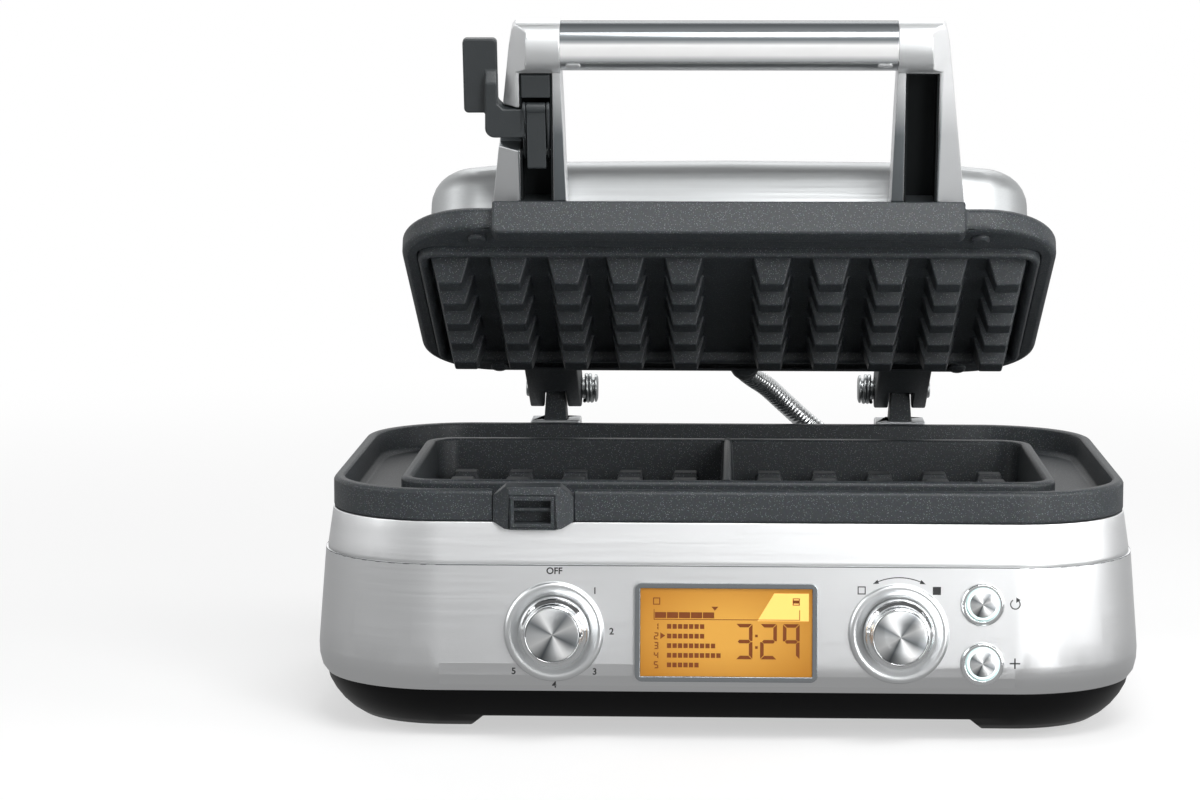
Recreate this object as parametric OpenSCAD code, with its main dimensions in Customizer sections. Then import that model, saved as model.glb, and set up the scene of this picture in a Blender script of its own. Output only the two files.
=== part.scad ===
// Waffle maker with two deep square waffles side by side, a lid that carries the
// upper grill plate on two rear hinges, a carrying handle with a latch, and a
// front panel with a display, two dials and two push buttons.
//
// Millimetres, +Z up, +X to the user's right, the user stands on the -Y side.
// The origin is on the table, under the middle of the appliance. Lid pieces are
// drawn with the lid shut and then turned back by lid_open about the hinge axis.

/* [Casing] */
// Corner radius of the casing in plan
corner_r = 50; // [44:1:60]
// Height of the lower edge of the steel above the table
steel_z = 21.7; // [19:0.1:26]
// Height of the control housing, up to the seam under the upper band
housing_h = 53.5; // [50:0.1:60]
// Height of the upper band
band_h = 17.9; // [14:0.1:22]
// Thickness of the steel sheet
steel_t = 1.2; // [0.8:0.1:1.8]
// How far the housing stands out past the rim at its widest, near the bottom
bulge = 6.9; // [5:0.1:9]
// How far the housing stands out past the rim at the seam
seam_out = 3.6; // [2.8:0.1:4.5]
// Height of the widest line of the housing above its lower edge
bulge_up = 12.3; // [8:0.1:16]
// Wall of the moulded tray
tray_t = 2.5; // [2:0.1:3.5]
// Clear height under the tray between its feet
arch_h = 9; // [6:0.1:10]
// Half the width of the arch between the front feet
arch_half = 103; // [80:1:115]
// Radius of a rubber foot
foot_r = 8; // [6:0.5:9]
// How far a rubber foot stands below the tray
foot_out = 1.5; // [1:0.1:2.2]

/* [Moat and plates] */
// Height of the rim of the moat casting
rim_h = 13.5; // [11:0.1:16]
// Thickness of the rim of the moat casting
rim_t = 5; // [4:0.1:7]
// Thickness of the moat floor
moat_t = 3.3; // [2.5:0.1:4]
// Outer width of the rim of the lower plate
mould_w = 282; // [276:0.2:290]
// Outer depth of the rim of the lower plate
mould_d = 144; // [140:0.2:150]
// Corner radius of the lower plate
mould_r = 16; // [12:0.5:22]
// Thickness of the rim of the lower plate
mould_t = 5; // [4:0.1:6]
// From the rim of the lower plate out to the side of the casting
moat_side = 29.7; // [26:0.1:36]
// From the rim of the lower plate out to the front of the casting
moat_front = 28.3; // [24:0.1:34]
// From the rim of the lower plate out to the back of the casting
moat_back = 56.3; // [50:0.1:62]
// Clear gap between the rims of the two plates when shut
nest_gap = 1.5; // [1.2:0.1:2.5]
// Wall of the rim of the upper plate
upper_wall = 4; // [3:0.1:5]
// Pitch of the studs across the width
stud_px = 25.4; // [24.4:0.1:25.8]
// Pitch of the studs in depth
stud_py = 24.2; // [23:0.1:24.6]
// Width of the gap between the two waffles at the stud tops
half_gap = 13; // [12:0.1:15]
// Height of a stud
stud_h = 12.5; // [10:0.1:13.5]
// Width of a stud at its root
stud_w = 17.4; // [15:0.1:18.5]
// Depth of a stud at its root
stud_d = 16.1; // [14:0.1:17.5]
// Draft of a stud on each side
stud_draft = 3.5; // [2.5:0.1:4.5]
// Depth of the lower plate below its rim
mould_deep = 25.1; // [23:0.1:28]
// Thickness of a grill plate under its cavity
plate_t = 4.5; // [3.5:0.1:6]
// Gap between the tips of the upper and lower studs when shut
tip_gap = 4.9; // [3:0.1:8]

/* [Lid] */
// Angle that the lid stands open
lid_open = 27; // [0:1:60]
// Width of the lid frame beside the seat of the upper plate
frame_side = 4.35; // [3:0.05:8]
// Depth of the lid frame before and behind the seat of the upper plate
frame_end = 17.6; // [15:0.1:22]
// Corner radius of the lid frame
lid_r = 34; // [28:1:38]
// Thickness of the lid frame
lid_h = 11; // [10:0.1:14]
// Gap between the lid frame and the rim of the moat when shut
lid_gap = 3.9; // [2.5:0.1:6]
// How far the tongue stands out in front of the lid frame
tongue_out = 5.6; // [3:0.1:6]
// How far the steel cover is set in from the edge of the lid frame
cover_in = 12; // [9:0.1:15]
// Height of the steel cover at its ends
cover_h = 28; // [24:0.5:32]
// Extra height of the steel cover in the middle
cover_crown = 3.5; // [1:0.1:5]
// Radius along the upper edge of the steel cover
cover_edge_r = 14; // [8:0.5:16]

/* [Hinges] */
// Distance of each hinge from the side of the lid frame
hinge_in = 58.05; // [50:0.05:66]
// Distance of the hinge axis behind the casting
hinge_back = 10.7; // [9.5:0.1:13]
// Height of the hinge axis above the rim of the casting
hinge_up = 15.6; // [14:0.1:20]
// Radius of the hinge pin
pin_r = 2.5; // [2:0.1:3]
// Outer radius of the hinge ears
ear_r = 9.1; // [8:0.1:10]
// Thickness of one hinge ear
ear_t = 6.8; // [5:0.1:7.5]
// Width over both ears of one hinge
fork_w = 25; // [24:0.1:28]
// Width of the hinge post at its foot
post_w = 10.9; // [9.6:0.1:11]
// Width of the hinge post at its eye
post_top_w = 8.9; // [8:0.1:9.4]
// Radius of the wire of a hinge spring
spring_wire = 1; // [0.8:0.1:1.2]
// Number of turns of a hinge spring
spring_turns = 3; // [2:1:5]
// Outer radius of a hinge spring
spring_r = 7.4; // [6.5:0.1:8]
// Radial clearance of a running fit
fit = 0.05; // [0.02:0.01:0.1]

/* [Handle and latch] */
// Distance of the inner face of an arm from the side of the lid frame
arm_inset = 73.45; // [70:0.05:78]
// Width of an arm at its foot
arm_w = 32.6; // [31:0.1:34]
// Width of an arm at the bar
arm_top_w = 21.8; // [21:0.1:24]
// Forward lean of the arms with the lid shut
arm_lean = 43; // [35:1:48]
// Length of an arm from the lid frame to the middle of the bar
arm_len = 72.9; // [68:0.1:80]
// Depth of an arm at its foot, square to its length
arm_d = 15; // [14:0.1:17]
// Radius of the bar
bar_r = 10.6; // [9:0.1:12]
// Width of the recess in the front of each arm
recess_w = 12.2; // [11.6:0.1:13]

/* [Control panel] */
// Height of the dials and the display above the lower edge of the steel
dial_up = 25.9; // [24:0.1:28]
// Distance from a dial to the push buttons beside it
dial_pitch = 34.8; // [33:0.1:40]
// Radius of the dished ring round a dial
dial_ring_r = 21; // [19:0.1:23]
// Radius of a dial knob at its skirt
knob_r = 15; // [12:0.1:16]
// How far a knob stands out of the panel
knob_h = 16; // [13:0.1:20]
// Distance of the push buttons from the start of the rounded corner
button_in = 13.7; // [10:0.1:18]
// Distance between the two push buttons
button_pitch = 24.8; // [20:0.1:28]
// Radius of a push button
button_r = 6.7; // [5:0.1:7.5]
// Travel of a push button
button_travel = 1.5; // [1:0.1:2]
// Clear steel between the display frame and the ring of a dial
lcd_gap = 12.95; // [8:0.05:20]
// Height of the display glass
lcd_h = 37; // [32:0.1:38]

/* [Conduit] */
// Radius of the flexible metal conduit between base and lid
conduit_r = 5; // [4:0.1:6]

/* [Hidden] */
$fn = 72;

// Small clear gap between pieces that only lie beside each other
gap = 0.3;
// Longer than any piece, for cuts that go right through
beyond = 600;
body_w = mould_w + 2 * moat_side;
body_d = mould_d + moat_front + moat_back;
plate_y = (moat_front - moat_back) / 2;
seam_z = steel_z + housing_h;
band_z = seam_z + band_h;
bulge_z = steel_z + bulge_up;
rim_z = band_z + rim_h;
moat_z = band_z + 1.4;
moat_under = moat_z - moat_t;
tray_floor = arch_h + tray_t;
panel_tilt = atan2(bulge - seam_out, seam_z - bulge_z);
mould_floor = rim_z - mould_deep;
mould_under = mould_floor - plate_t;
lower_tip = mould_floor + stud_h;
upper_tip = lower_tip + tip_gap;
upper_floor = upper_tip + stud_h;
upper_back = upper_floor + plate_t;
upper_w = mould_w - 2 * (mould_t + nest_gap);
upper_d = mould_d - 2 * (mould_t + nest_gap);
upper_r = mould_r - mould_t - nest_gap;
upper_rim = rim_z + 0.3;
lid_z = rim_z + lid_gap;
lid_top = lid_z + lid_h;
ledge = 3;
ledge_t = 3.2;
lid_w = upper_w + 2 * (ledge + frame_side);
lid_d = upper_d + 2 * (ledge + frame_end);
hinge_x = lid_w / 2 - hinge_in;
hinge_y = body_d / 2 + hinge_back;
hinge_z = rim_z + hinge_up;
arm_in = lid_w / 2 - arm_inset;
recess_x = arm_in + 12.8;
catch_x = recess_x;
tongue_w = 2 * (arm_in + arm_w) - 1;
dial_z = steel_z + dial_up;
button_x = body_w / 2 - corner_r - button_in;
button_hi_z = dial_z + button_pitch / 2;
button_lo_z = dial_z - button_pitch / 2;
dial_x = button_x - dial_pitch;
bezel_edge = 2.25;
lcd_w = 2 * (dial_x - dial_ring_r - lcd_gap - bezel_edge);
cover_w = lid_w - 2 * cover_in;
cover_d = lid_d - 2 * cover_in;
cover_r = lid_r - cover_in;
studs = 5;
stud_x0 = half_gap / 2 + stud_px / 2;

function arc(c, r, a0, a1, n) =
    [for (i = [0:n]) c + r * [cos(a0 + (a1 - a0) * i / n), sin(a0 + (a1 - a0) * i / n)]];
// How far the control housing stands out past the rim at height z on its flat part
function panel_out(z) = seam_out + (seam_z - z) * (bulge - seam_out) / (seam_z - bulge_z);

// ---------- shared forms ----------

module round_rect(w, d, r) {
    square([w - 2 * r, d], center = true);
    square([w, d - 2 * r], center = true);
    for (sx = [-1, 1], sy = [-1, 1])
        translate([sx * (w / 2 - r), sy * (d / 2 - r)]) circle(r);
}

// Sweeps a profile round a rounded rectangle; profile x counts from the axis of a corner
module sweep_round(w, d, r) {
    turns = [[1, 1, 0], [-1, 1, 90], [-1, -1, 180], [1, -1, 270]];
    for (t = turns) {
        translate([t.x * (w / 2 - r), t.y * (d / 2 - r), 0])
            rotate([0, 0, t.z]) rotate_extrude(angle = 90) children();
        along = t.z % 180 == 0 ? d - 2 * r : w - 2 * r;
        out = t.z % 180 == 0 ? w / 2 - r : d / 2 - r;
        rotate([0, 0, t.z]) translate([out, 0, 0])
            rotate([90, 0, 0]) linear_extrude(along, center = true) children();
    }
}

// Solid rounded block whose edge follows points of [distance outward, height]
module slab(w, d, r, edge) {
    low = edge[0].y;
    high = edge[len(edge) - 1].y;
    sweep_round(w, d, r)
        polygon(concat([[0, low]], [for (p = edge) [r + p.x, p.y]], [[0, high]]));
    translate([0, 0, (low + high) / 2]) cube([w - 2 * r, d - 2 * r, high - low], center = true);
}

module block(w, d, r, z0, z1) {
    translate([0, 0, z0]) linear_extrude(z1 - z0) round_rect(w, d, r);
}

// Puts a piece on the control panel: x to the right, y up the panel, z outward
module on_panel(x, z) {
    translate([x, -(body_d / 2 + panel_out(z)), z]) rotate([90 - panel_tilt, 0, 0]) children();
}

module turn_lid() {
    translate([0, hinge_y, hinge_z]) rotate([-lid_open, 0, 0])
        translate([0, -hinge_y, -hinge_z]) children();
}

module at_plates() {
    translate([0, plate_y, 0]) children();
}

// ---------- base ----------

module base_tray() {
    out = seam_out - 0.4;
    skin = concat(
        [[out, steel_z]],
        arc([out - 29, steel_z + 9.5], 31, -24, -62, 4),
        [[-27, foot_out + 0.8], [-45, foot_out]]
    );
    lining = [[-45, tray_floor], [-13, tray_floor], [out - tray_t - 1.5, steel_z - 7],
              [out - tray_t, steel_z]];
    color("#23282b") difference() {
        union() {
            sweep_round(body_w, body_d, corner_r)
                polygon([for (p = concat(skin, lining)) [corner_r + p.x, p.y]]);
            block(body_w - 60, body_d - 60, corner_r - 30, arch_h, tray_floor);
        }
        tray_arch(arch_half, body_d + 40, 0);
        tray_arch(body_d / 2 - 64, body_w + 40, 90);
        at_feet() translate([0, 0, -1]) cylinder(r = foot_r + 0.05, h = foot_out + 3);
        at_posts() translate([0, 0, arch_h - 1]) cylinder(r = 2.3, h = tray_t + 2);
    }
}

module tray_arch(half, length, turn) {
    rotate([0, 0, turn]) rotate([90, 0, 0]) linear_extrude(length, center = true)
        polygon([[-half - 9, -1], [-half - 7, 2], [-half, arch_h], [half, arch_h],
                 [half + 7, 2], [half + 9, -1]]);
}

module at_feet() {
    reach = corner_r - 43;
    for (sx = [-1, 1], sy = [-1, 1])
        translate([sx * (body_w / 2 - corner_r + reach + 2), sy * (body_d / 2 - corner_r + reach + 2), 0])
            children();
}

module rubber_feet() {
    color("#1b1c1d") at_feet() {
        cylinder(r = foot_r, h = foot_out + 2);
    }
}

post_out = 12;
post_y = 40;

module at_posts() {
    for (sx = [-1, 1], sy = [-1, 1])
        translate([sx * (mould_w / 2 + post_out), sy * post_y, 0]) children();
}

module tie_posts() {
    color("silver") at_posts() difference() {
        translate([0, 0, tray_floor]) cylinder(r = 4.7, h = moat_under - tray_floor);
        translate([0, 0, tray_floor - 1]) cylinder(r = 2.05, h = 20);
    }
}

module base_screws() {
    color("silver") at_posts() difference() {
        union() {
            translate([0, 0, arch_h - 2.2]) cylinder(r = 4, h = 2.2);
            translate([0, 0, arch_h - 1]) cylinder(r = 2, h = 16);
        }
        for (a = [0, 90]) rotate([0, 0, a])
            translate([0, 0, arch_h - 2.2]) cube([5, 1, 2], center = true);
    }
}

module lower_housing() {
    color("#b9bcbe") difference() {
        sweep_round(body_w, body_d, corner_r)
            polygon([for (p = concat(steel_line(0), steel_line_back(steel_t))) [corner_r + p.x, p.y]]);
        on_panel(0, dial_z) translate([0, 0, -5])
            linear_extrude(10) round_rect(lcd_w + 3, lcd_h + 3, 2);
        for (s = [-1, 1]) on_panel(s * dial_x, dial_z) cylinder(r = 8, h = 20, center = true);
        for (z = [button_hi_z, button_lo_z])
            on_panel(button_x, z) cylinder(r = button_r + 1.6, h = 20, center = true);
        at_inlet() cylinder(r = 8, h = 30, center = true);
    }
}

// Outline of the control housing from its lower edge to the seam, inset by t
function steel_line(t) = [
    [seam_out - t, steel_z], [bulge - 1.3 - t, steel_z + 2.8], [bulge - 0.2 - t, bulge_z - 5],
    [bulge - t, bulge_z], [seam_out - t, seam_z]
];
function steel_line_back(t) = [for (i = [4:-1:0]) steel_line(t)[i]];

module upper_band() {
    foot = seam_out - 0.9;
    color("#a9acaf") sweep_round(body_w, body_d, corner_r)
        polygon([for (p = [[foot, seam_z], [foot - 0.1, seam_z + 2], [0.2, band_z],
                           [-9, band_z], [-9, band_z - steel_t], [-1, band_z - steel_t],
                           [foot - 0.1 - steel_t, seam_z + 2], [foot - steel_t, seam_z]])
                 [corner_r + p.x, p.y]]);
}

module moat() {
    edge = [
        [-0.8, band_z], [0, band_z + 0.9], [0, rim_z - 2], [-0.6, rim_z - 0.6], [-2, rim_z],
        [-rim_t + 0.8, rim_z], [-rim_t, rim_z - 1], [-rim_t - 1.2, moat_z + 2],
        [-rim_t - 3.2, moat_z], [-rim_t - 8, moat_z], [-rim_t - 8, moat_under], [-9.6, moat_under],
        [-9.6, band_z]
    ];
    floor_edge = rim_t + 7;
    color("#3c4043") difference() {
        union() {
            sweep_round(body_w, body_d, corner_r)
                polygon([for (p = edge) [corner_r + p.x, p.y]]);
            block(body_w - 2 * floor_edge, body_d - 2 * floor_edge, corner_r - floor_edge,
                  moat_under, moat_z);
        }
        at_plates() block(mould_w + 2 * gap, mould_d + 2 * gap, mould_r + gap,
                          moat_under - 1, moat_z + 1);
        // pocket in the front rim for the catch
        translate([-catch_x, -body_d / 2, band_z])
            translate([0, 0, rim_h / 2]) cube([catch_w + 0.2, 2 * rim_t + 4, rim_h + 6], center = true);
    }
}

// Tapered studs of one waffle: the ridges across meet the ridges in depth
module stud_field(tip) {
    root_w = stud_w / 2;
    root_d = stud_d / 2;
    intersection() {
        rotate([90, 0, 0]) linear_extrude(studs * stud_py + 10, center = true)
            for (i = [0:studs - 1]) translate([stud_x0 + i * stud_px, 0])
                polygon([[-root_w, 0], [root_w, 0], [root_w - stud_draft, tip],
                         [stud_draft - root_w, tip]]);
        rotate([90, 0, 90]) linear_extrude(stud_x0 + studs * stud_px)
            for (i = [0:studs - 1]) translate([(i - (studs - 1) / 2) * stud_py, 0])
                polygon([[-root_d, 0], [root_d, 0], [root_d - stud_draft, tip],
                         [stud_draft - root_d, tip]]);
    }
}

module both_studs() {
    stud_field(stud_h);
    mirror([1, 0, 0]) stud_field(stud_h);
}

// Floor of the lower plate, let into its rim
module lower_floor(clear, top) {
    block(mould_w - 2 * mould_t - 4 + 2 * clear, mould_d - 2 * mould_t - 4 + 2 * clear,
          mould_r - mould_t - 2 + clear, mould_under - (clear > 0 ? 1 : 0), top);
}

module lower_plate() {
    color("#36393b") at_plates() {
        lower_floor(0, mould_floor);
        intersection() {
            translate([0, 0, mould_floor]) both_studs();
            slab(mould_w - 2 * mould_t, mould_d - 2 * mould_t, mould_r - mould_t, [
                [-2 - fit, mould_floor - 1], [-2 - fit, mould_floor], [-fit, rim_z - 1]
            ]);
        }
    }
}

module lower_rim() {
    flange = 2.6;
    color("#36393b") at_plates() difference() {
        union() {
            difference() {
                union() {
                    slab(mould_w, mould_d, mould_r, [
                        [-3, mould_under], [0, mould_under + 3], [0, rim_z - 1.2], [-1.2, rim_z]
                    ]);
                    block(mould_w + 2 * flange, mould_d + 2 * flange, mould_r + flange,
                          moat_under - 3, moat_under);
                }
                slab(mould_w - 2 * mould_t, mould_d - 2 * mould_t, mould_r - mould_t, [
                    [-2, mould_floor], [0, rim_z - 1], [1, rim_z], [1, rim_z + 2]
                ]);
            }
            divider();
        }
        lower_floor(fit, mould_floor + 0.01);
    }
}

// Low wall between the two waffles
module divider() {
    rotate([90, 0, 0]) linear_extrude(mould_d - 2 * mould_t + 2, center = true)
        polygon([[-3, mould_floor - 1], [3, mould_floor - 1], [1.6, rim_z - 1.2], [0.8, rim_z - 0.4],
                 [-0.8, rim_z - 0.4], [-1.6, rim_z - 1.2]]);
}

// ---------- catch on the front rim ----------

catch_w = 34;
catch_out = 8;
catch_low = band_z - 2.2;
catch_top = rim_z + 2.4;
window_w = 15.4;
window_z0 = band_z + 0.4;
window_z1 = window_z0 + 9.6;
bar_z = window_z0 + 5.6;
catch_bar_r = 1;
catch_bar_in = 3.2;

module latch_catch() {
    hw = catch_w / 2;
    back = rim_t + 1.2;
    color("#34383a") translate([-catch_x, -body_d / 2, 0]) {
        difference() {
            intersection() {
                // seen from above: chamfered cheeks
                translate([0, 0, catch_low]) linear_extrude(catch_top - catch_low)
                    polygon([[-hw, back], [-hw, -1], [-hw + 7.5, -catch_out], [hw - 7.5, -catch_out],
                             [hw, -1], [hw, back]]);
                // seen from the front: dropped shoulders and a low chin
                rotate([90, 0, 0]) linear_extrude(60, center = true)
                    polygon([[-hw, band_z + 0.2], [-hw + 5, catch_low], [hw - 5, catch_low],
                             [hw, band_z + 0.2], [hw, rim_z - 2.5], [hw - 5.5, catch_top],
                             [-hw + 5.5, catch_top], [-hw, rim_z - 2.5]]);
                // seen from the side: the casting lies behind the chin
                rotate([90, 0, 90]) linear_extrude(60, center = true)
                    polygon([[-catch_out, catch_low], [-1.2, catch_low], [-1.2, band_z + 0.2],
                             [back, band_z + 0.2], [back, catch_top - 1.5], [back - 1.5, catch_top],
                             [1 - catch_out, catch_top], [-catch_out, catch_top - 4]]);
            }
            translate([-window_w / 2, -catch_out - 1, window_z0])
                cube([window_w, catch_out + 0.5, window_z1 - window_z0]);
            // narrow shadow line round the window frame
            translate([0, -catch_out, (window_z0 + window_z1) / 2]) rotate([90, 0, 0])
                linear_extrude(1, center = true) difference() {
                    round_rect(window_w + 7.2, window_z1 - window_z0 + 4.6, 2);
                    round_rect(window_w + 6, window_z1 - window_z0 + 3.4, 1.4);
                }
        }
        translate([0, -catch_out + catch_bar_in, bar_z]) rotate([0, 90, 0])
            cylinder(r = catch_bar_r, h = window_w + 1, center = true);
    }
}

// ---------- heaters and inner pieces ----------

// Tubular heater of two bends lying flat: leads at the rear
module heater(span, depth, tube_r) {
    bend = depth / 4;
    for (s = [-1, 1]) {
        translate([s * span / 2, 0, 0]) rotate([0, 0, s > 0 ? -90 : 90])
            rotate_extrude(angle = 180) translate([bend, 0]) circle(tube_r);
        translate([0, s * bend, 0]) rotate([0, 90, 0]) cylinder(r = tube_r, h = span, center = true);
    }
}

heater_r = 3.5;
heater_side = 58;
heater_end = 12;
heater_span = mould_w - 2 * heater_side;
heater_depth = mould_d - 2 * heater_end;

module lower_element() {
    color("#8b8f92") translate([0, plate_y, mould_under - heater_r])
        heater(heater_span, heater_depth, heater_r);
}

shield_drop = 12;

module heat_shield() {
    w = mould_w - 24;
    d = mould_d - 24;
    color("#c3c6c8") at_plates() difference() {
        block(w, d, 8, mould_under - shield_drop, mould_under);
        block(w - 2 * steel_t, d - 2 * steel_t, 8 - steel_t, mould_under - shield_drop + steel_t,
              mould_under + 1);
        for (s = [-1, 1]) translate([s * 30, -d / 4, mould_under - shield_drop]) cylinder(r = 3, h = 9, center = true);
    }
}

module thermostat() {
    color("#d8d4c8") at_plates() translate([0, 0, mould_under - 9]) {
        cylinder(r = 8, h = 9);
        translate([0, 0, 3]) cube([24, 6, 3], center = true);
    }
}

board_depth = 17;

module control_board() {
    left = -dial_x - 31.8;
    right = button_x + 17;
    color("#2f6b45") on_panel((left + right) / 2, dial_z)
        translate([0, 0, -board_depth - 0.8 - gap / 10]) cube([right - left, 50, 1.6], center = true);
}

module power_board() {
    width = 104;
    depth = 56;
    color("#2f6b45") translate([-20, 30, tray_floor]) {
        for (sx = [-1, 1], sy = [-1, 1])
            translate([sx * (width / 2 - 7), sy * (depth / 2 - 6), 0]) cylinder(r = 3, h = 6);
        translate([0, 0, 6.8]) cube([width, depth, 1.6], center = true);
        translate([-30, 5, 16.6]) cube([32, 28, 18], center = true);
        translate([18, -8, 14.6]) cube([20, 16, 14], center = true);
        translate([40, 12, 7.6]) cylinder(r = 8, h = 22);
    }
}

// ---------- display ----------

module lcd_bezel() {
    lip = 1.8;
    color("#6d7174") on_panel(0, dial_z) difference() {
        union() {
            linear_extrude(lip) round_rect(lcd_w + 2 * bezel_edge, lcd_h + 2 * bezel_edge, 3);
            translate([0, 0, -4]) linear_extrude(4 + lip) round_rect(lcd_w + 2.6, lcd_h + 2.6, 1.8);
        }
        translate([0, 0, -5]) linear_extrude(lip + 6) square([lcd_w, lcd_h], center = true);
    }
}

module lcd_window() {
    color([0.95, 0.7, 0.25, 0.6]) on_panel(0, dial_z)
        linear_extrude(1) square([lcd_w - 0.1, lcd_h - 0.1], center = true);
}

module lcd_module() {
    color("#efa93a") on_panel(0, dial_z) {
        translate([0, 0, -3]) linear_extrude(3) square([lcd_w - 0.4, lcd_h - 0.4], center = true);
        translate([0, 0, -board_depth]) linear_extrude(board_depth - 4)
            square([lcd_w + 4, lcd_h + 2], center = true);
        translate([0, 0, -4]) linear_extrude(1) square([lcd_w - 4, lcd_h - 4], center = true);
    }
}

// ---------- dials ----------

bush_r = 4.5;
shaft_r = 3;

module dial_ring() {
    color("#cfd2d4") rotate_extrude()
        polygon([[bush_r + 0.4, -2.6], [7.9, -2.6], [7.9, 0], [dial_ring_r, 0], [dial_ring_r, 1],
                 [dial_ring_r - 1, 2], [dial_ring_r - 2.4, 2.1], [dial_ring_r - 4, 1.5],
                 [dial_ring_r - 5.6, 0.9], [bush_r + 0.4, 0.9]]);
}

module dial_switch() {
    color("#3a3d40") difference() {
        union() {
            translate([0, 0, -board_depth]) linear_extrude(board_depth - 5) square(20, center = true);
            translate([0, 0, -5.5]) cylinder(r = bush_r, h = 6.2);
        }
        translate([0, 0, -board_depth + 3]) cylinder(r = shaft_r + fit, h = board_depth);
    }
}

// Knob with its shaft, turned from the panel outward; a notch in the rim is the pointer
module knob(pointer) {
    top_r = knob_r - 3.4;
    color("#c9ccce") difference() {
        rotate_extrude() polygon([
            [0, -board_depth + 3.6], [shaft_r, -board_depth + 3.6], [shaft_r, 2.4], [5.5, 2.4],
            [5.5, knob_h - 4.5], [knob_r - 5, knob_h - 4.5], [knob_r - 5, 8], [knob_r - 2.2, 5.4],
            [knob_r - 1.4, 2.6], [knob_r, 2.6], [knob_r, 4], [knob_r - 0.8, 5.6],
            [knob_r - 2.6, 7.4], [knob_r - 2.9, knob_h - 1], [top_r, knob_h],
            [top_r - 0.4, knob_h], [top_r - 0.4, knob_h - 1], [0, knob_h - 1]
        ]);
        if (pointer) rotate([0, 0, 0]) translate([knob_r - 3.6, 0, knob_h - 3]) cube([3, 1.6, 8], center = true);
    }
}

module knob_face() {
    disc_r = knob_r - 3.85;
    color("#dfe1e3") rotate_extrude()
        polygon([[0, knob_h - 1], [disc_r, knob_h - 1], [disc_r, knob_h - 0.3], [disc_r - 0.5, knob_h],
                 [1.2, knob_h - 0.45], [0, knob_h - 0.45]]);
}

module menu_dial_ring() { on_panel(-dial_x, dial_z) dial_ring(); }
module shade_dial_ring() { on_panel(dial_x, dial_z) dial_ring(); }
module menu_switch() { on_panel(-dial_x, dial_z) dial_switch(); }
module shade_switch() { on_panel(dial_x, dial_z) dial_switch(); }
module menu_knob() { on_panel(-dial_x, dial_z) knob(true); }
module shade_knob() { on_panel(dial_x, dial_z) knob(false); }
module menu_knob_face() { on_panel(-dial_x, dial_z) knob_face(); }
module shade_knob_face() { on_panel(dial_x, dial_z) knob_face(); }

// ---------- push buttons ----------

button_out = 2.8;
neck = 2.4;

module button_ring() {
    color("#d9dcde") rotate_extrude()
        polygon([[button_r + 0.1, -neck], [button_r + 1.5, -neck], [button_r + 1.5, 0.01],
                 [button_r + 2.3, 0.01], [button_r + 2.3, 0.8], [button_r + 1.6, 1.6],
                 [button_r + 0.6, 1.6], [button_r + 0.1, 1.1]]);
}

module button_cap() {
    color("#e3ebe9") rotate_extrude()
        polygon([[0, -7.6], [2, -7.6], [2, -3.6], [button_r + 1.2, -3.6], [button_r + 1.2, -neck - 0.3],
                 [button_r, -neck - 0.3], [button_r, button_out - 0.9], [button_r - 0.7, button_out - 0.2],
                 [button_r * 0.6, button_out + 0.05], [0, button_out + 0.15]]);
}

module restart_ring() { on_panel(button_x, button_hi_z) button_ring(); }
module more_ring() { on_panel(button_x, button_lo_z) button_ring(); }
module restart_button() { on_panel(button_x, button_hi_z) button_cap(); }
module more_button() { on_panel(button_x, button_lo_z) button_cap(); }

module button_switches() {
    top = 7.6 + button_travel + gap;
    color("#3a3d40") for (z = [button_hi_z, button_lo_z]) on_panel(button_x, z) {
        translate([0, 0, -board_depth]) linear_extrude(board_depth - top - 1.5) square(7, center = true);
        translate([0, 0, -top - 1.5]) cylinder(r = 1.7, h = 1.5);
    }
}

// ---------- rear of the base ----------

inlet_x = -60;
inlet_z = 45;

module at_inlet() {
    translate([inlet_x, body_d / 2 + panel_out(inlet_z), inlet_z])
        rotate([panel_tilt - 90, 0, 0]) children();
}

module cord_inlet() {
    color("#222527") at_inlet() difference() {
        union() {
            translate([0, 0, -8]) cylinder(r = 7.9, h = 9);
            cylinder(r = 11, h = 2.6);
            cylinder(r = 6.5, h = 9);
            translate([0, 0, -10]) cylinder(r = 10, h = 3);
        }
        translate([0, 0, -11]) cylinder(r = 3.6, h = 30);
    }
}

// ---------- hinges ----------

foot_w = 24;
foot_top = rim_z + 0.9;
post_d = 16;
post_eye = 8;
post_root = rim_z - 9;
spring_len = 2 * spring_wire * (1 + 0.95 * (spring_turns - 1));

module at_hinge(side) {
    translate([side * hinge_x, 0, 0]) children();
}

// Extrudes a side view, given as x = depth and y = height, to a width along X
module along_x(width) {
    rotate([90, 0, 90]) linear_extrude(width, center = true) children();
}

module hinge_foot(side) {
    wall = body_d / 2 + 0.1;
    color("#c4c7c9") at_hinge(side) difference() {
        along_x(foot_w) polygon([
            [wall, foot_top], [wall, band_z + 0.5], [wall + 0.3, band_z],
            [wall + seam_out - 1, seam_z + 2.5], [hinge_y + 2, seam_z + 2.5],
            [hinge_y + 11.1, band_z - 4], [hinge_y + 11.1, foot_top - 3], [hinge_y + 8.1, foot_top]
        ]);
        translate([0, hinge_y, post_root + 10])
            cube([post_w + 0.1, post_d + 0.1, 20], center = true);
    }
}

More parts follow.
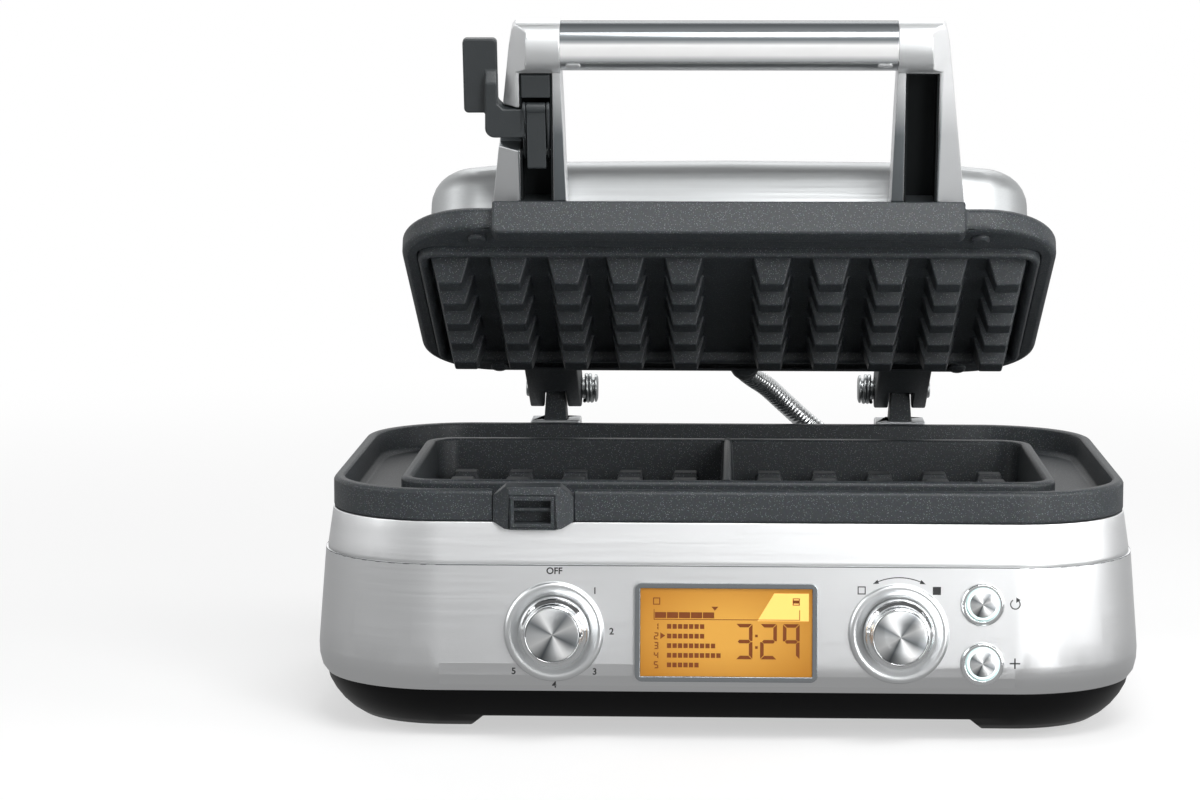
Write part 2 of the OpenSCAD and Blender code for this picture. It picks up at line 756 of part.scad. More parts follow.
module hinge_post(side) {
    color("#34383a") at_hinge(side) difference() {
        intersection() {
            along_x(40) {
                polygon([[hinge_y - post_d / 2, post_root], [hinge_y + post_d / 2, post_root],
                         [hinge_y + post_d / 2, foot_top], [hinge_y + post_eye - 0.2, hinge_z + 1],
                         [hinge_y - post_eye + 0.2, hinge_z + 1], [hinge_y - post_d / 2, foot_top]]);
                translate([hinge_y, hinge_z]) circle(post_eye);
            }
            rotate([90, 0, 0]) linear_extrude(beyond, center = true)
                polygon([[-post_w / 2, post_root], [post_w / 2, post_root], [post_w / 2, foot_top],
                         [post_top_w / 2, hinge_z], [post_top_w / 2, hinge_z + 20],
                         [-post_top_w / 2, hinge_z + 20], [-post_top_w / 2, hinge_z],
                         [-post_w / 2, foot_top]]);
        }
        translate([0, hinge_y, hinge_z]) rotate([0, 90, 0])
            cylinder(r = pin_r + fit, h = 60, center = true);
    }
}

// Pin with a head outside, a wider seat for the spring inside and a cap at its end
module hinge_pins() {
    half = fork_w / 2 + gap;
    tail = half + spring_len + gap;
    seat = spring_r - 2 * spring_wire - gap;
    color("silver") for (side = [-1, 1])
        translate([side * hinge_x, hinge_y, hinge_z]) rotate([0, -side * 90, 0]) rotate_extrude()
            polygon([[0, -half - 1.8], [3.6, -half - 1.8], [4.2, -half - 1.2], [4.2, -half],
                     [pin_r, -half], [pin_r, half], [seat, half], [seat, tail],
                     [spring_r - 0.6, tail], [spring_r - 0.6, tail + 1], [seat, tail + 1.6],
                     [0, tail + 1.6]]);
}

module hinge_springs() {
    ring = spring_r - spring_wire;
    start = fork_w / 2 + gap + 0.1 + spring_wire;
    color("#d5d8da") for (side = [-1, 1])
        translate([side * hinge_x, hinge_y, hinge_z]) rotate([0, -side * 90, 0]) rotate_extrude()
            for (i = [0:spring_turns - 1])
                translate([ring, start + i * 1.9 * spring_wire]) circle(spring_wire, $fn = 24);
}

// Two ears of a lid arm on one root, lying against the back edge of the lid frame
module hinge_fork(side) {
    back = plate_y + lid_d / 2;
    color("#34383a") turn_lid() at_hinge(side) difference() {
        along_x(fork_w) {
            polygon([[back, lid_z + 1.4], [hinge_y, hinge_z - ear_r], [hinge_y, hinge_z + ear_r],
                     [back + 6, lid_top + 4], [back - 10, lid_top + 4], [back - 10, lid_top],
                     [back, lid_top]]);
            translate([hinge_y, hinge_z]) circle(ear_r);
        }
        translate([0, hinge_y + 5, hinge_z]) cube([fork_w - 2 * ear_t, 50, 40], center = true);
        translate([0, hinge_y, hinge_z]) rotate([0, 90, 0])
            cylinder(r = pin_r + fit, h = 60, center = true);
    }
}

// ---------- conduit ----------

socket = [hinge_x - 27.8, body_d / 2 + 9.7, band_z - 2];
socket_lean = 45;
socket_dir = [-sin(socket_lean), 0, cos(socket_lean)];
lid_gland_x = 8;
lid_gland_z = lid_z + lid_h / 2;

function turned(p) = [p.x,
    hinge_y + (p.y - hinge_y) * cos(lid_open) + (p.z - hinge_z) * sin(lid_open),
    hinge_z - (p.y - hinge_y) * sin(lid_open) + (p.z - hinge_z) * cos(lid_open)];

lid_mouth = turned([lid_gland_x, plate_y + lid_d / 2 + 4.2, lid_gland_z]);
lid_dir = [0, cos(lid_open), -sin(lid_open)];
route = [
    lid_mouth, lid_mouth + 3 * lid_dir, lid_mouth + 7 * lid_dir, socket + [-44, -31, 40.4],
    socket + [-37, -21, 34.6], socket + [-28, -11, 25.4], socket + [-17.5, -3, 15.2],
    socket + 9.5 * socket_dir, socket + 3 * socket_dir, socket
];

// Point at share t of the smooth span that leads from point i of the route
function along(i, t) =
    let (a = route[max(i - 1, 0)], b = route[i], c = route[i + 1],
         d = route[min(i + 2, len(route) - 1)])
    0.5 * (2 * b + (c - a) * t + (2 * a - 5 * b + 4 * c - d) * t * t
           + (3 * b - 3 * c + d - a) * t * t * t);

steps = 4;
path = [for (i = [0:len(route) - 2], k = [0:steps - 1]) along(i, k / steps), route[len(route) - 1]];
conduit_sides = 12;

function unit(v) = v / norm(v);

module conduit() {
    last = len(path) - 1;
    rings = [for (i = [0:last])
        let (dir = unit(path[min(i + 1, last)] - path[max(i - 1, 0)]),
             side = unit(cross(dir, [0.6, -0.2, 1])), up = cross(side, dir))
        for (k = [0:conduit_sides - 1])
            path[i] + conduit_r * (side * cos(360 * k / conduit_sides)
                                   + up * sin(360 * k / conduit_sides))];
    walls = [for (i = [0:last - 1], k = [0:conduit_sides - 1])
        let (n = conduit_sides, a = i * n + k, b = i * n + (k + 1) % n) [a, b, b + n, a + n]];
    ends = [[for (k = [conduit_sides - 1:-1:0]) k],
            [for (k = [0:conduit_sides - 1]) last * conduit_sides + k]];
    color("#bfc2c4") polyhedron(rings, concat(walls, ends), convexity = 6);
}

module at_socket() {
    translate(socket) rotate([0, -socket_lean, 0]) children();
}

module base_gland() {
    wall = body_d / 2 + 0.1;
    foot = seam_z + 2.5;
    back = socket.y + 8.5;
    color("#34383a") difference() {
        union() {
            translate([socket.x, 0, 0]) along_x(20) polygon([
                [wall + 0.7, band_z - 2.5], [wall + seam_out - 1, foot], [back - 5.5, foot],
                [back, foot + 5.5], [back, band_z - 2.5]
            ]);
            at_socket() translate([0, 0, -1]) cylinder(r = conduit_r + 2.4, h = 3.4);
        }
        at_socket() cylinder(r = conduit_r + 0.05, h = 30);
        at_socket() translate([0, 0, -9]) cylinder(r = conduit_r - 1, h = 12);
    }
}

module lid_gland() {
    color("#34383a") turn_lid() translate([lid_gland_x, plate_y + lid_d / 2 + 0.1, lid_gland_z])
        rotate([-90, 0, 0]) difference() {
            union() {
                cylinder(r = 7.4, h = 3);
                cylinder(r = conduit_r + 1.6, h = 7);
            }
            translate([0, 0, 4.1]) cylinder(r = conduit_r + 0.05, h = 9);
            translate([0, 0, -1]) cylinder(r = conduit_r - 1, h = 9);
        }
}

// ---------- lid ----------

module upper_plate() {
    inner_w = upper_w - 2 * upper_wall;
    inner_d = upper_d - 2 * upper_wall;
    inner_r = upper_r - upper_wall;
    color("#36393b") turn_lid() at_plates() {
        difference() {
            union() {
                slab(upper_w, upper_d, upper_r, [
                    [-0.8, upper_rim], [0, upper_rim + 1], [0, lid_top - 0.2]
                ]);
                block(upper_w + 2 * ledge, upper_d + 2 * ledge, upper_r + ledge,
                      lid_top - ledge_t, lid_top - 0.2);
            }
            slab(inner_w, inner_d, inner_r, [
                [1.2, upper_rim - 1], [1.2, upper_rim], [0, upper_rim + 1.6], [-0.5, upper_floor]
            ]);
            block(inner_w, inner_d, inner_r, upper_back, lid_top + 1);
        }
        translate([0, 0, upper_floor]) rotate([180, 0, 0]) both_studs();
    }
}

screw_r = 2;
screw_len = 9;

// Screws in the middle of the front and back strips of the lid frame
module at_plate_screws() {
    for (sx = [-1, 1], sy = [-1, 1])
        translate([sx * (upper_w / 2 - 27), plate_y + sy * (lid_d - frame_end) / 2, 0]) children();
}

module plate_screws() {
    color("#4a4e50") turn_lid() at_plate_screws() {
        translate([0, 0, lid_z - 2]) rotate_extrude()
            polygon([[0, 0], [3, 0], [4, 0.9], [4, 2], [0, 2]]);
        translate([0, 0, lid_z - 1]) cylinder(r = screw_r, h = screw_len);
    }
}

tongue_drop = 4.1;

module lid_frame() {
    front = plate_y - lid_d / 2;
    half = tongue_w / 2;
    low = lid_z - tongue_drop;
    color("#3c4043") turn_lid() difference() {
        union() {
            at_plates() slab(lid_w, lid_d, lid_r, [
                [-1.5, lid_z], [0, lid_z + 1.4], [0, lid_top - 2.2], [-2.2, lid_top]
            ]);
            translate([0, front, 0]) rotate([90, 0, 0])
                translate([0, 0, -4]) linear_extrude(tongue_out + 4)
                    polygon(concat(arc([half - 3, low + 3], 3, 0, -90, 4),
                                   arc([3 - half, low + 3], 3, -90, -180, 4),
                                   [[-half, lid_top], [half, lid_top]]));
        }
        at_plates() {
            block(upper_w + 0.4, upper_d + 0.4, upper_r + 0.2, lid_z - 1, lid_top + 1);
            block(upper_w + 2 * ledge + 0.4, upper_d + 2 * ledge + 0.4, upper_r + ledge + 0.2,
                  lid_top - ledge_t, lid_top + 1);
        }
        at_plate_screws() translate([0, 0, lid_z - 1]) cylinder(r = screw_r + fit, h = screw_len + 1);
    }
}

// Quarter round turned about Z: the edge of the cover, set out from the axis by reach
module cover_round(reach, r) {
    rotate_extrude($fn = 40) intersection() {
        translate([reach, 0]) circle(r, $fn = 30);
        square([reach + r, r]);
    }
}

// Pressed steel cover: a hull of rounded corners with a higher middle
module cover_form(inset) {
    r = cover_edge_r - inset;
    w = cover_w / 2 - cover_r;
    d = cover_d / 2 - cover_r;
    edge_z = lid_top + cover_h - cover_edge_r;
    hull() {
        for (sx = [-1, 1], sy = [-1, 1]) translate([sx * w, sy * d, 0]) {
            translate([0, 0, edge_z]) cover_round(cover_r - cover_edge_r, r);
            translate([0, 0, lid_top - inset]) cylinder(r = cover_r - inset, h = 1, $fn = 40);
        }
        for (along = [-0.8, 0, 0.8], sy = [-1, 1]) {
            rise = cover_crown * (1 - 0.4 * along * along);
            translate([along * w, sy * (cover_d / 2 - cover_edge_r), edge_z + rise])
                cover_round(0, r);
        }
    }
}

module lid_cover() {
    color("#e4e6e8") turn_lid() at_plates() difference() {
        cover_form(0);
        cover_form(steel_t);
    }
}

module upper_element() {
    color("#8b8f92") turn_lid() translate([0, plate_y, upper_back + heater_r])
        heater(heater_span, heater_depth, heater_r);
}

module reflector() {
    w = upper_w - 30;
    d = upper_d - 12;
    high = upper_back + 2 * heater_r + 2;
    color("#c3c6c8") turn_lid() at_plates() difference() {
        block(w, d, 8, upper_back, high);
        block(w - 2 * steel_t, d - 2 * steel_t, 8 - steel_t, upper_back - 1, high - steel_t);
    }
}

// ---------- handle ----------

arm_y = plate_y - lid_d / 2 - tongue_out + arm_d / 2 / cos(arm_lean);
recess_low = 4.5;
recess_high = 61.6;
recess_back = 6.8;
liner_t = 0.8;
nose_r = bar_r + 0.4;

// Frame of an arm: x outward from the middle, y backward, z up along the arm
module on_arm(side) {
    turn_lid() translate([0, arm_y, lid_top]) mirror([side < 0 ? 1 : 0, 0, 0])
        rotate([arm_lean, 0, 0]) children();
}

// Keeps what lies above the lid frame
module above_frame() {
    difference() {
        children();
        rotate([-arm_lean, 0, 0]) translate([0, 0, -beyond / 2]) cube(beyond, center = true);
    }
}

module arm_body() {
    top = arm_len + nose_r;
    intersection() {
        along_x(beyond) {
            polygon([[-arm_d / 2 - 0.6, -14], [arm_d / 2 - 3.9, -14], [arm_d / 2 - 2.4, -4.7],
                     [arm_d / 2 + 1.1, 4], [arm_d / 2 + 5.5, arm_len * 0.62],
                     [nose_r * cos(20), arm_len + nose_r * sin(20)], [0, arm_len],
                     [-4, arm_len - 7]]);
            translate([0, arm_len]) circle(nose_r);
        }
        rotate([90, 0, 0]) linear_extrude(beyond, center = true) polygon([
            [arm_in - 0.4, -14], [arm_in + arm_w + 1.6, -14],
            [arm_in + 2.2 + arm_top_w, arm_len], [arm_in + arm_top_w + 0.9, arm_len + nose_r * 0.7],
            [arm_in + arm_top_w - 1, top], [arm_in + 2.2, top], [arm_in + 2.2, arm_len - nose_r]
        ]);
    }
}

// Broad bevel along the outer front edge of an arm
module arm_bevel() {
    start = arm_in + 20;
    translate([start, -arm_d / 2, 0]) rotate([0, -2.7, 0]) translate([0, 0, -30])
        linear_extrude(160) polygon([[0, 0], [25.2, 20], [30, -30], [0, -30]]);
}

// Space of the recess, grown on its closed sides but not at its foot
module recess_space(grow) {
    translate([recess_x - recess_w / 2 - grow, -beyond / 4, recess_low])
        cube([recess_w + 2 * grow, beyond / 4 + recess_back + grow, recess_high - recess_low + grow]);
}

// Moulded liner of the recess, level with the front of the arm
module arm_liner() {
    difference() {
        intersection() {
            arm_body();
            recess_space(liner_t - fit);
        }
        translate([0, 0, -0.01]) recess_space(0);
    }
}

module handle_arm_right() {
    color("#a3a7aa") on_arm(1) above_frame() difference() {
        arm_body();
        arm_bevel();
        recess_space(liner_t);
    }
}

// Latch geometry in the frame of the left arm, as [depth, height along the arm]. The lever
// swings forward and down, and the strap that is folded on it opens and hangs from its end.
pivot = [-0.5, 26.4];
link_pin = [-4.4, 47];
strap_t = 3;
claw_t = 2.2;
claw_in = 5.5;
lever_len = norm(link_pin - pivot);
// How far the open strap must hang in front of the pivot, to pass the front of the catch
strap_out = body_d / 2 + catch_out + 0.5 + strap_t / 2 + arm_y
    + pivot.x * cos(arm_lean) - pivot.y * sin(arm_lean);
pivot_z = lid_top + pivot.x * sin(arm_lean) + pivot.y * cos(arm_lean);
hook_pin_z = pivot_z - sqrt(max(pow(lever_len, 2) - pow(strap_out, 2), 100));
claw_top = bar_z - catch_bar_r - 0.4;
strap_len = hook_pin_z - claw_top + claw_t;
slot_low = 28.5;
slot_high = 47.2;
latch_pin_r = 1.5;
hook_pin_r = 1.2;
cheek = 1.5;
paddle_w = 14.5;
paddle_h = 32.5;

module handle_arm_left() {
    color("#a3a7aa") on_arm(-1) above_frame() difference() {
        arm_body();
        arm_bevel();
        recess_space(liner_t);
        latch_cuts();
    }
}

// Way out for the neck of the lever, and the bore of its pin
module latch_cuts() {
    translate([recess_x, -30, slot_low]) cube([40, 30 + recess_back, slot_high - slot_low]);
    translate([recess_x, pivot.x, pivot.y]) rotate([0, 90, 0])
        cylinder(r = latch_pin_r + fit, h = recess_w + 8, center = true);
}

module arm_liner_right() {
    color("#3a3f42") on_arm(1) above_frame() arm_liner();
}

module arm_liner_left() {
    color("#3a3f42") on_arm(-1) above_frame() difference() {
        arm_liner();
        latch_cuts();
    }
}

module handle_bar() {
    color("#d8dadc") on_arm(1) translate([0, 0, arm_len]) difference() {
        rotate([0, 90, 0]) cylinder(r = bar_r, h = 2 * (arm_in + 2.2), center = true);
        translate([0, 0, -bar_r - 4.4]) cube([beyond, 60, 2 * bar_r], center = true);
    }
}

// Lower strip of the bar, with a round-ended nib at each arm
module grip_insert() {
    color("#aeb2b4") on_arm(1) translate([0, 0, arm_len]) intersection() {
        rotate([0, 90, 0]) cylinder(r = bar_r - 0.3, h = 2 * (arm_in + 2.2), center = true);
        translate([0, 0, -bar_r - 4.5]) cube([2 * arm_in + 6, 60, 2 * bar_r], center = true);
    }
}

module latch_block() {
    color("#2c3032") on_arm(-1)
        translate([recess_x - recess_w / 2 + 0.05, -5.2, 51.6])
            cube([recess_w - 0.1, 5.2 + recess_back - 0.05, recess_high - 51.6 - 0.05]);
}

module latch_pin() {
    color("silver") on_arm(-1) translate([recess_x, pivot.x, pivot.y]) rotate([0, 90, 0])
        cylinder(r = latch_pin_r, h = recess_w + 7.8, center = true);
}

// Lever of two cheeks: bridged at the back, with the pin of the hook at its upper end
module latch_lever() {
    half = recess_w / 2 - gap;
    neck_low = 33.8;
    neck_high = 46.5;
    front = -5.2;
    back = 3.6;
    rib_x = arm_in + 29;
    rib_w = 5.5;
    color("#3a3f42") on_arm(-1) difference() {
        union() {
            for (s = [-1, 1]) translate([recess_x + s * (half - cheek / 2), 0, 0]) along_x(cheek) {
                translate(pivot) circle(3.2);
                translate(link_pin) circle(2.6);
                polygon([[pivot.x - 3.2, pivot.y], [pivot.x + 3.2, pivot.y], [back, neck_low],
                         [back, neck_high], link_pin + [0, 2.6], link_pin - [2.6, 0]]);
            }
            translate([recess_x, link_pin.x, link_pin.y]) rotate([0, 90, 0])
                cylinder(r = hook_pin_r, h = 2 * half - 0.2, center = true);
            // bridge behind the folded hook
            translate([recess_x - half + 0.5, -1.6, neck_low - 2])
                cube([2 * half - 1, back + 1.6, neck_high - neck_low + 2]);
            // neck through the side of the arm, turned up into a rib outside it
            intersection() {
                along_x(beyond)
                    polygon([[front, neck_low], [back, neck_low], [back, 60], [-1, 62.5], [front, 58]]);
                rotate([90, 0, 0]) linear_extrude(beyond, center = true) polygon(concat(
                    [[recess_x + half - 0.5, neck_low]],
                    arc([rib_x + rib_w - 4, neck_low + 4], 4, -90, 0, 6),
                    [[rib_x + rib_w - 0.6, 64], [rib_x, 64], [rib_x, neck_high + 2.5],
                     [rib_x - 2.5, neck_high], [recess_x + half - 0.5, neck_high]]
                ));
            }
            // thumb paddle
            translate([rib_x + paddle_w / 2, 2.8, 43.5 + paddle_h / 2]) rotate([90, 0, 0])
                linear_extrude(3.8) round_rect(paddle_w, paddle_h, 2);
        }
        translate([recess_x, pivot.x, pivot.y]) rotate([0, 90, 0])
            cylinder(r = latch_pin_r + fit, h = 2 * half + 2, center = true);
    }
}

// Hook folded between the cheeks of the lever; its claw reaches under the bar of the catch
module latch_hook() {
    width = recess_w - 2 * (cheek + 2 * gap);
    low = link_pin.y - strap_len;
    color("#34383a") on_arm(-1) difference() {
        translate([recess_x, 0, 0]) along_x(width) {
            translate(link_pin) circle(2.3);
            polygon([[link_pin.x - strap_t / 2, link_pin.y], [link_pin.x - strap_t / 2, low + 0.8],
                     [link_pin.x - strap_t / 2 + 0.8, low], [link_pin.x + strap_t / 2 + claw_in, low],
                     [link_pin.x + strap_t / 2 + claw_in, low + claw_t - 0.5],
                     [link_pin.x + strap_t / 2, low + claw_t], [link_pin.x + strap_t / 2, link_pin.y]]);
        }
        translate([recess_x, link_pin.x, link_pin.y]) rotate([0, 90, 0])
            cylinder(r = hook_pin_r + fit, h = 40, center = true);
    }
}

module hinge_foot_left() { hinge_foot(-1); }
module hinge_foot_right() { hinge_foot(1); }
module hinge_post_left() { hinge_post(-1); }
module hinge_post_right() { hinge_post(1); }
module hinge_fork_left() { hinge_fork(-1); }
module hinge_fork_right() { hinge_fork(1); }

// ---------- what is drawn ----------

base_tray();
rubber_feet();
base_screws();
tie_posts();
lower_housing();
upper_band();
moat();
lower_rim();
lower_plate();
latch_catch();
lower_element();
heat_shield();
thermostat();
control_board();
power_board();
lcd_bezel();
lcd_window();
lcd_module();
menu_dial_ring();
shade_dial_ring();
menu_switch();
shade_switch();
restart_ring();
more_ring();
button_switches();
cord_inlet();
hinge_foot_left();
hinge_foot_right();
hinge_post_left();
hinge_post_right();
hinge_pins();
hinge_springs();
conduit();
base_gland();
upper_plate();
plate_screws();
lid_frame();
lid_cover();
upper_element();
reflector();
hinge_fork_left();
hinge_fork_right();
lid_gland();
handle_arm_left();
handle_arm_right();
arm_liner_left();
arm_liner_right();
handle_bar();
grip_insert();
latch_block();
latch_pin();
latch_lever();
latch_hook();
menu_knob();
menu_knob_face();
shade_knob();
shade_knob_face();
restart_button();
more_button();
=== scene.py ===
import bpy, bmesh, math
from mathutils import Matrix, Vector
from mathutils.bvhtree import BVHTree


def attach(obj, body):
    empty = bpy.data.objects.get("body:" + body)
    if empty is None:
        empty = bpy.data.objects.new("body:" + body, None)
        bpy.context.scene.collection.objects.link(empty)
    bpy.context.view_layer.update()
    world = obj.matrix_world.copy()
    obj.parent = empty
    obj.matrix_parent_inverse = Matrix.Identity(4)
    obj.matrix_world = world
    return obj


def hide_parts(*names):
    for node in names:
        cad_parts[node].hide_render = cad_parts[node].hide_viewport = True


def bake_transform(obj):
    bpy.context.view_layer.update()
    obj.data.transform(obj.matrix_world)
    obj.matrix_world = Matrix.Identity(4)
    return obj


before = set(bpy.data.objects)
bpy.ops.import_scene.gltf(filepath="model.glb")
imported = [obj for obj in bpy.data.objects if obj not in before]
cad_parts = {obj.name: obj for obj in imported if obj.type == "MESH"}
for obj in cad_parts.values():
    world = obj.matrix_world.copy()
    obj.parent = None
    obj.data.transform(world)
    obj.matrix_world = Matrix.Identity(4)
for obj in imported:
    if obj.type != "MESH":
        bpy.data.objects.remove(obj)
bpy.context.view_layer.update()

# ---------- camera ----------
# Long lens a metre and a half in front of the panel, a little above the lid,
# turned slightly to the left so that the appliance stands right of the middle.

eye = bpy.data.objects.new("camera", bpy.data.cameras.new("camera"))
bpy.context.scene.collection.objects.link(eye)
eye.data.lens = 101.16
eye.data.sensor_width = 36
eye.data.clip_start, eye.data.clip_end = 0.05, 30
eye.location = (0.0008, -1.5128, 0.31166)
pitch_down, turn_left = 6.80, 2.21
eye.rotation_euler = (math.radians(90 - pitch_down), 0, math.radians(turn_left))
bpy.context.scene.camera = eye
bpy.context.scene.view_settings.view_transform = "Standard"

# ---------- studio ----------
# A pale seamless sheet under and behind the appliance, a white surround and
# five soft lamps: two in front, one at each side and one behind.


def linear(code):
    """Linear colour of an sRGB hex value"""
    parts = [int(code[i:i + 2], 16) / 255 for i in (1, 3, 5)]
    return [c / 12.92 if c <= 0.04045 else ((c + 0.055) / 1.055) ** 2.4 for c in parts] + [1.0]


def add(tree, kind, settings=None, links=None, stops=()):
    """One node: its settings, its inputs set to values or linked to outputs, and a
    ramp's stops from low to high"""
    made = tree.nodes.new(kind)
    for key, value in (settings or {}).items():
        setattr(made, key, value)
    for key, value in (links or {}).items():
        if isinstance(value, bpy.types.NodeSocket):
            tree.links.new(value, made.inputs[key])
        else:
            made.inputs[key].default_value = value
    for index, (position, colour) in enumerate(stops):
        elements = made.color_ramp.elements
        stop = elements[index] if index < 2 else elements.new(position)
        stop.position = position
        stop.color = linear(colour) if isinstance(colour, str) else (colour, colour, colour, 1)
    return made


def finish(name, colour, roughness, metallic=0.0, **more):
    """A material whose Principled node gets plain values; returns it with its tree and shader"""
    made = bpy.data.materials.new(name)
    made.use_nodes = True
    tree = made.node_tree
    shader = tree.nodes["Principled BSDF"]
    made.diffuse_color = linear(colour)
    shader.inputs["Base Color"].default_value = linear(colour)
    shader.inputs["Roughness"].default_value = roughness
    shader.inputs["Metallic"].default_value = metallic
    for key, value in more.items():
        shader.inputs[key.replace("_", " ")].default_value = value
    return made, tree, shader


def new_piece(name, mesh, material):
    """An object at the origin that holds a finished mesh"""
    piece = bpy.data.objects.new(name, mesh)
    bpy.context.scene.collection.objects.link(piece)
    mesh.materials.clear()
    mesh.materials.append(material)
    return piece


def mesh_from(name, bm, smooth_to=None):
    """The mesh of a bmesh, shaded smooth up to an angle in degrees where one is given"""
    mesh = bpy.data.meshes.new(name)
    bm.to_mesh(mesh)
    bm.free()
    if smooth_to:
        for face in mesh.polygons:
            face.use_smooth = True
        mesh.set_sharp_from_angle(angle=math.radians(smooth_to))
    return mesh


# Matt paper. Seen by the camera it glows up to white away from the appliance,
# and mirrored in steel it stays a mid grey.
floor_paper, tree, shader = finish("studio_paper", "#ECECEC", 0.85)
ray = add(tree, "ShaderNodeLightPath")
place = add(tree, "ShaderNodeTexCoord")
reach = add(tree, "ShaderNodeVectorMath", {"operation": "LENGTH"}, {0: place.outputs["Object"]})
fade = add(
    tree, "ShaderNodeMapRange", {"interpolation_type": "SMOOTHSTEP"},
    {"Value": reach.outputs["Value"], "From Min": 0.2, "From Max": 1.3, "To Min": 0.55, "To Max": 1.0},
)
seen = add(
    tree, "ShaderNodeMath", {"operation": "MULTIPLY"},
    {0: fade.outputs[0], 1: ray.outputs["Is Camera Ray"]},
)
glow = add(tree, "ShaderNodeEmission", None, {"Color": (1, 1, 1, 1), "Strength": 1.0})
dim = add(tree, "ShaderNodeEmission", None, {"Color": (1, 1, 1, 1), "Strength": 0.38})
mirrored = add(
    tree, "ShaderNodeMixShader", None,
    {0: ray.outputs["Is Glossy Ray"], 1: shader.outputs[0], 2: dim.outputs[0]},
)
mixed = add(
    tree, "ShaderNodeMixShader", None,
    {0: seen.outputs[0], 1: mirrored.outputs[0], 2: glow.outputs[0]},
)
tree.links.new(mixed.outputs[0], tree.nodes["Material Output"].inputs["Surface"])
bm = bmesh.new()
bmesh.ops.create_grid(bm, x_segments=1, y_segments=1, size=6)
studio_floor = new_piece("studio_floor", mesh_from("studio_floor", bm), floor_paper)

# A bright sheet high in front, a darker ceiling and a pale wall low behind:
# the angle up from the front draws these bands into the plated parts.
world = bpy.data.worlds.new("studio")
bpy.context.scene.world = world
world.use_nodes = True
tree = world.node_tree
way = add(tree, "ShaderNodeTexCoord")
parts = add(tree, "ShaderNodeSeparateXYZ", None, {0: way.outputs["Generated"]})
ahead = add(tree, "ShaderNodeMath", {"operation": "MULTIPLY"}, {0: parts.outputs["Y"], 1: -1.0})
lift = add(tree, "ShaderNodeMath", {"operation": "ARCTAN2"}, {0: parts.outputs["Z"], 1: ahead.outputs[0]})
share = add(
    tree, "ShaderNodeMapRange", None,
    {"Value": lift.outputs[0], "From Min": 0.0, "From Max": math.pi},
)
bands = add(
    tree, "ShaderNodeValToRGB", None, {"Fac": share.outputs[0]},
    (
        (0.0, "#CED0D1"), (0.04, 0.4), (0.1, 0.8), (0.3, 1.0),
        (0.36, 0.16), (0.6, 0.12), (0.68, 0.95), (1.0, 0.95),
    ),
)
back = tree.nodes["Background"]
tree.links.new(bands.outputs["Color"], back.inputs["Color"])
ray = add(tree, "ShaderNodeLightPath")
force = add(
    tree, "ShaderNodeMapRange", None,
    {"Value": ray.outputs["Is Glossy Ray"], "To Min": 0.36, "To Max": 0.95},
)
tree.links.new(force.outputs[0], back.inputs["Strength"])
seen = add(
    tree, "ShaderNodeMath", {"operation": "MAXIMUM"},
    {0: ray.outputs["Is Camera Ray"], 1: ray.outputs["Is Transmission Ray"]},
)
white = add(tree, "ShaderNodeBackground", None, {"Color": (1, 1, 1, 1), "Strength": 1.0})
mixed = add(tree, "ShaderNodeMixShader", None, {0: seen.outputs[0], 1: back.outputs[0], 2: white.outputs[0]})
tree.links.new(mixed.outputs[0], tree.nodes["World Output"].inputs["Surface"])

aim = Vector((0, 0, 0.12))
for name, place, size, power in (
    ("lamp_front", (0.35, -0.9, 1.5), (1.0, 0.6), 19),
    ("lamp_low", (0.66, -1.25, 0.42), (0.4, 0.9), 10),
    ("lamp_left", (-1.5, -0.5, 0.9), (0.8, 1.2), 9),
    ("lamp_right", (1.5, -0.55, 0.6), (0.8, 1.2), 13),
    ("lamp_back", (0.0, 1.2, 1.5), (1.6, 0.8), 10),
):
    lamp = bpy.data.lights.new(name, "AREA")
    lamp.shape = "RECTANGLE"
    lamp.size, lamp.size_y = size
    lamp.energy = power
    holder = bpy.data.objects.new(name, lamp)
    bpy.context.scene.collection.objects.link(holder)
    holder.location = place
    holder.rotation_euler = (aim - Vector(place)).to_track_quat("-Z", "Y").to_euler()

# ---------- tray with its feet ----------
# Moulded glass-filled nylon tray that closes the underside; it stands on four
# rubber pads and is screwed to the casting above through four posts.


def dressed(name, node, body, material, edge, steps=2, join=True):
    """A merged copy of a CAD solid, its edges sharper than 35 degrees rounded by edge in
    millimetres. join makes one face of each flat; one with a hole in it needs its triangles."""
    bm = bmesh.new()
    bm.from_mesh(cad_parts[node].data)
    bmesh.ops.remove_doubles(bm, verts=bm.verts, dist=3e-6)
    bmesh.ops.dissolve_degenerate(bm, dist=2e-6, edges=bm.edges)
    if join:
        bmesh.ops.dissolve_limit(bm, angle_limit=math.radians(0.3), verts=bm.verts, edges=bm.edges)
    if edge:
        corners = [e for e in bm.edges if e.is_manifold and e.calc_face_angle(0) > math.radians(35)]
        bmesh.ops.bevel(
            bm, geom=corners, offset=edge / 1000, offset_type="OFFSET", affect="EDGES",
            segments=steps, profile=0.5, material=-1, clamp_overlap=False, loop_slide=True,
        )
    piece = new_piece(name, mesh_from(name, bm, 32), material)
    weighted = piece.modifiers.new("even_shading", "WEIGHTED_NORMAL")
    weighted.keep_sharp = True
    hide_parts(node)
    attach(piece, body)


def grained(tree, shader, per_mm, strength, depth=0.1, detail=2.0):
    """Raises so many fine grains to the millimetre, their depth in millimetres"""
    place = add(tree, "ShaderNodeTexCoord")
    grain = add(
        tree, "ShaderNodeTexNoise", None,
        {"Vector": place.outputs["Object"], "Scale": 1000 * per_mm, "Detail": detail},
    )
    bump = add(
        tree, "ShaderNodeBump", None,
        {"Height": grain.outputs["Fac"], "Strength": strength, "Distance": depth / 1000},
    )
    tree.links.new(bump.outputs[0], shader.inputs["Normal"])


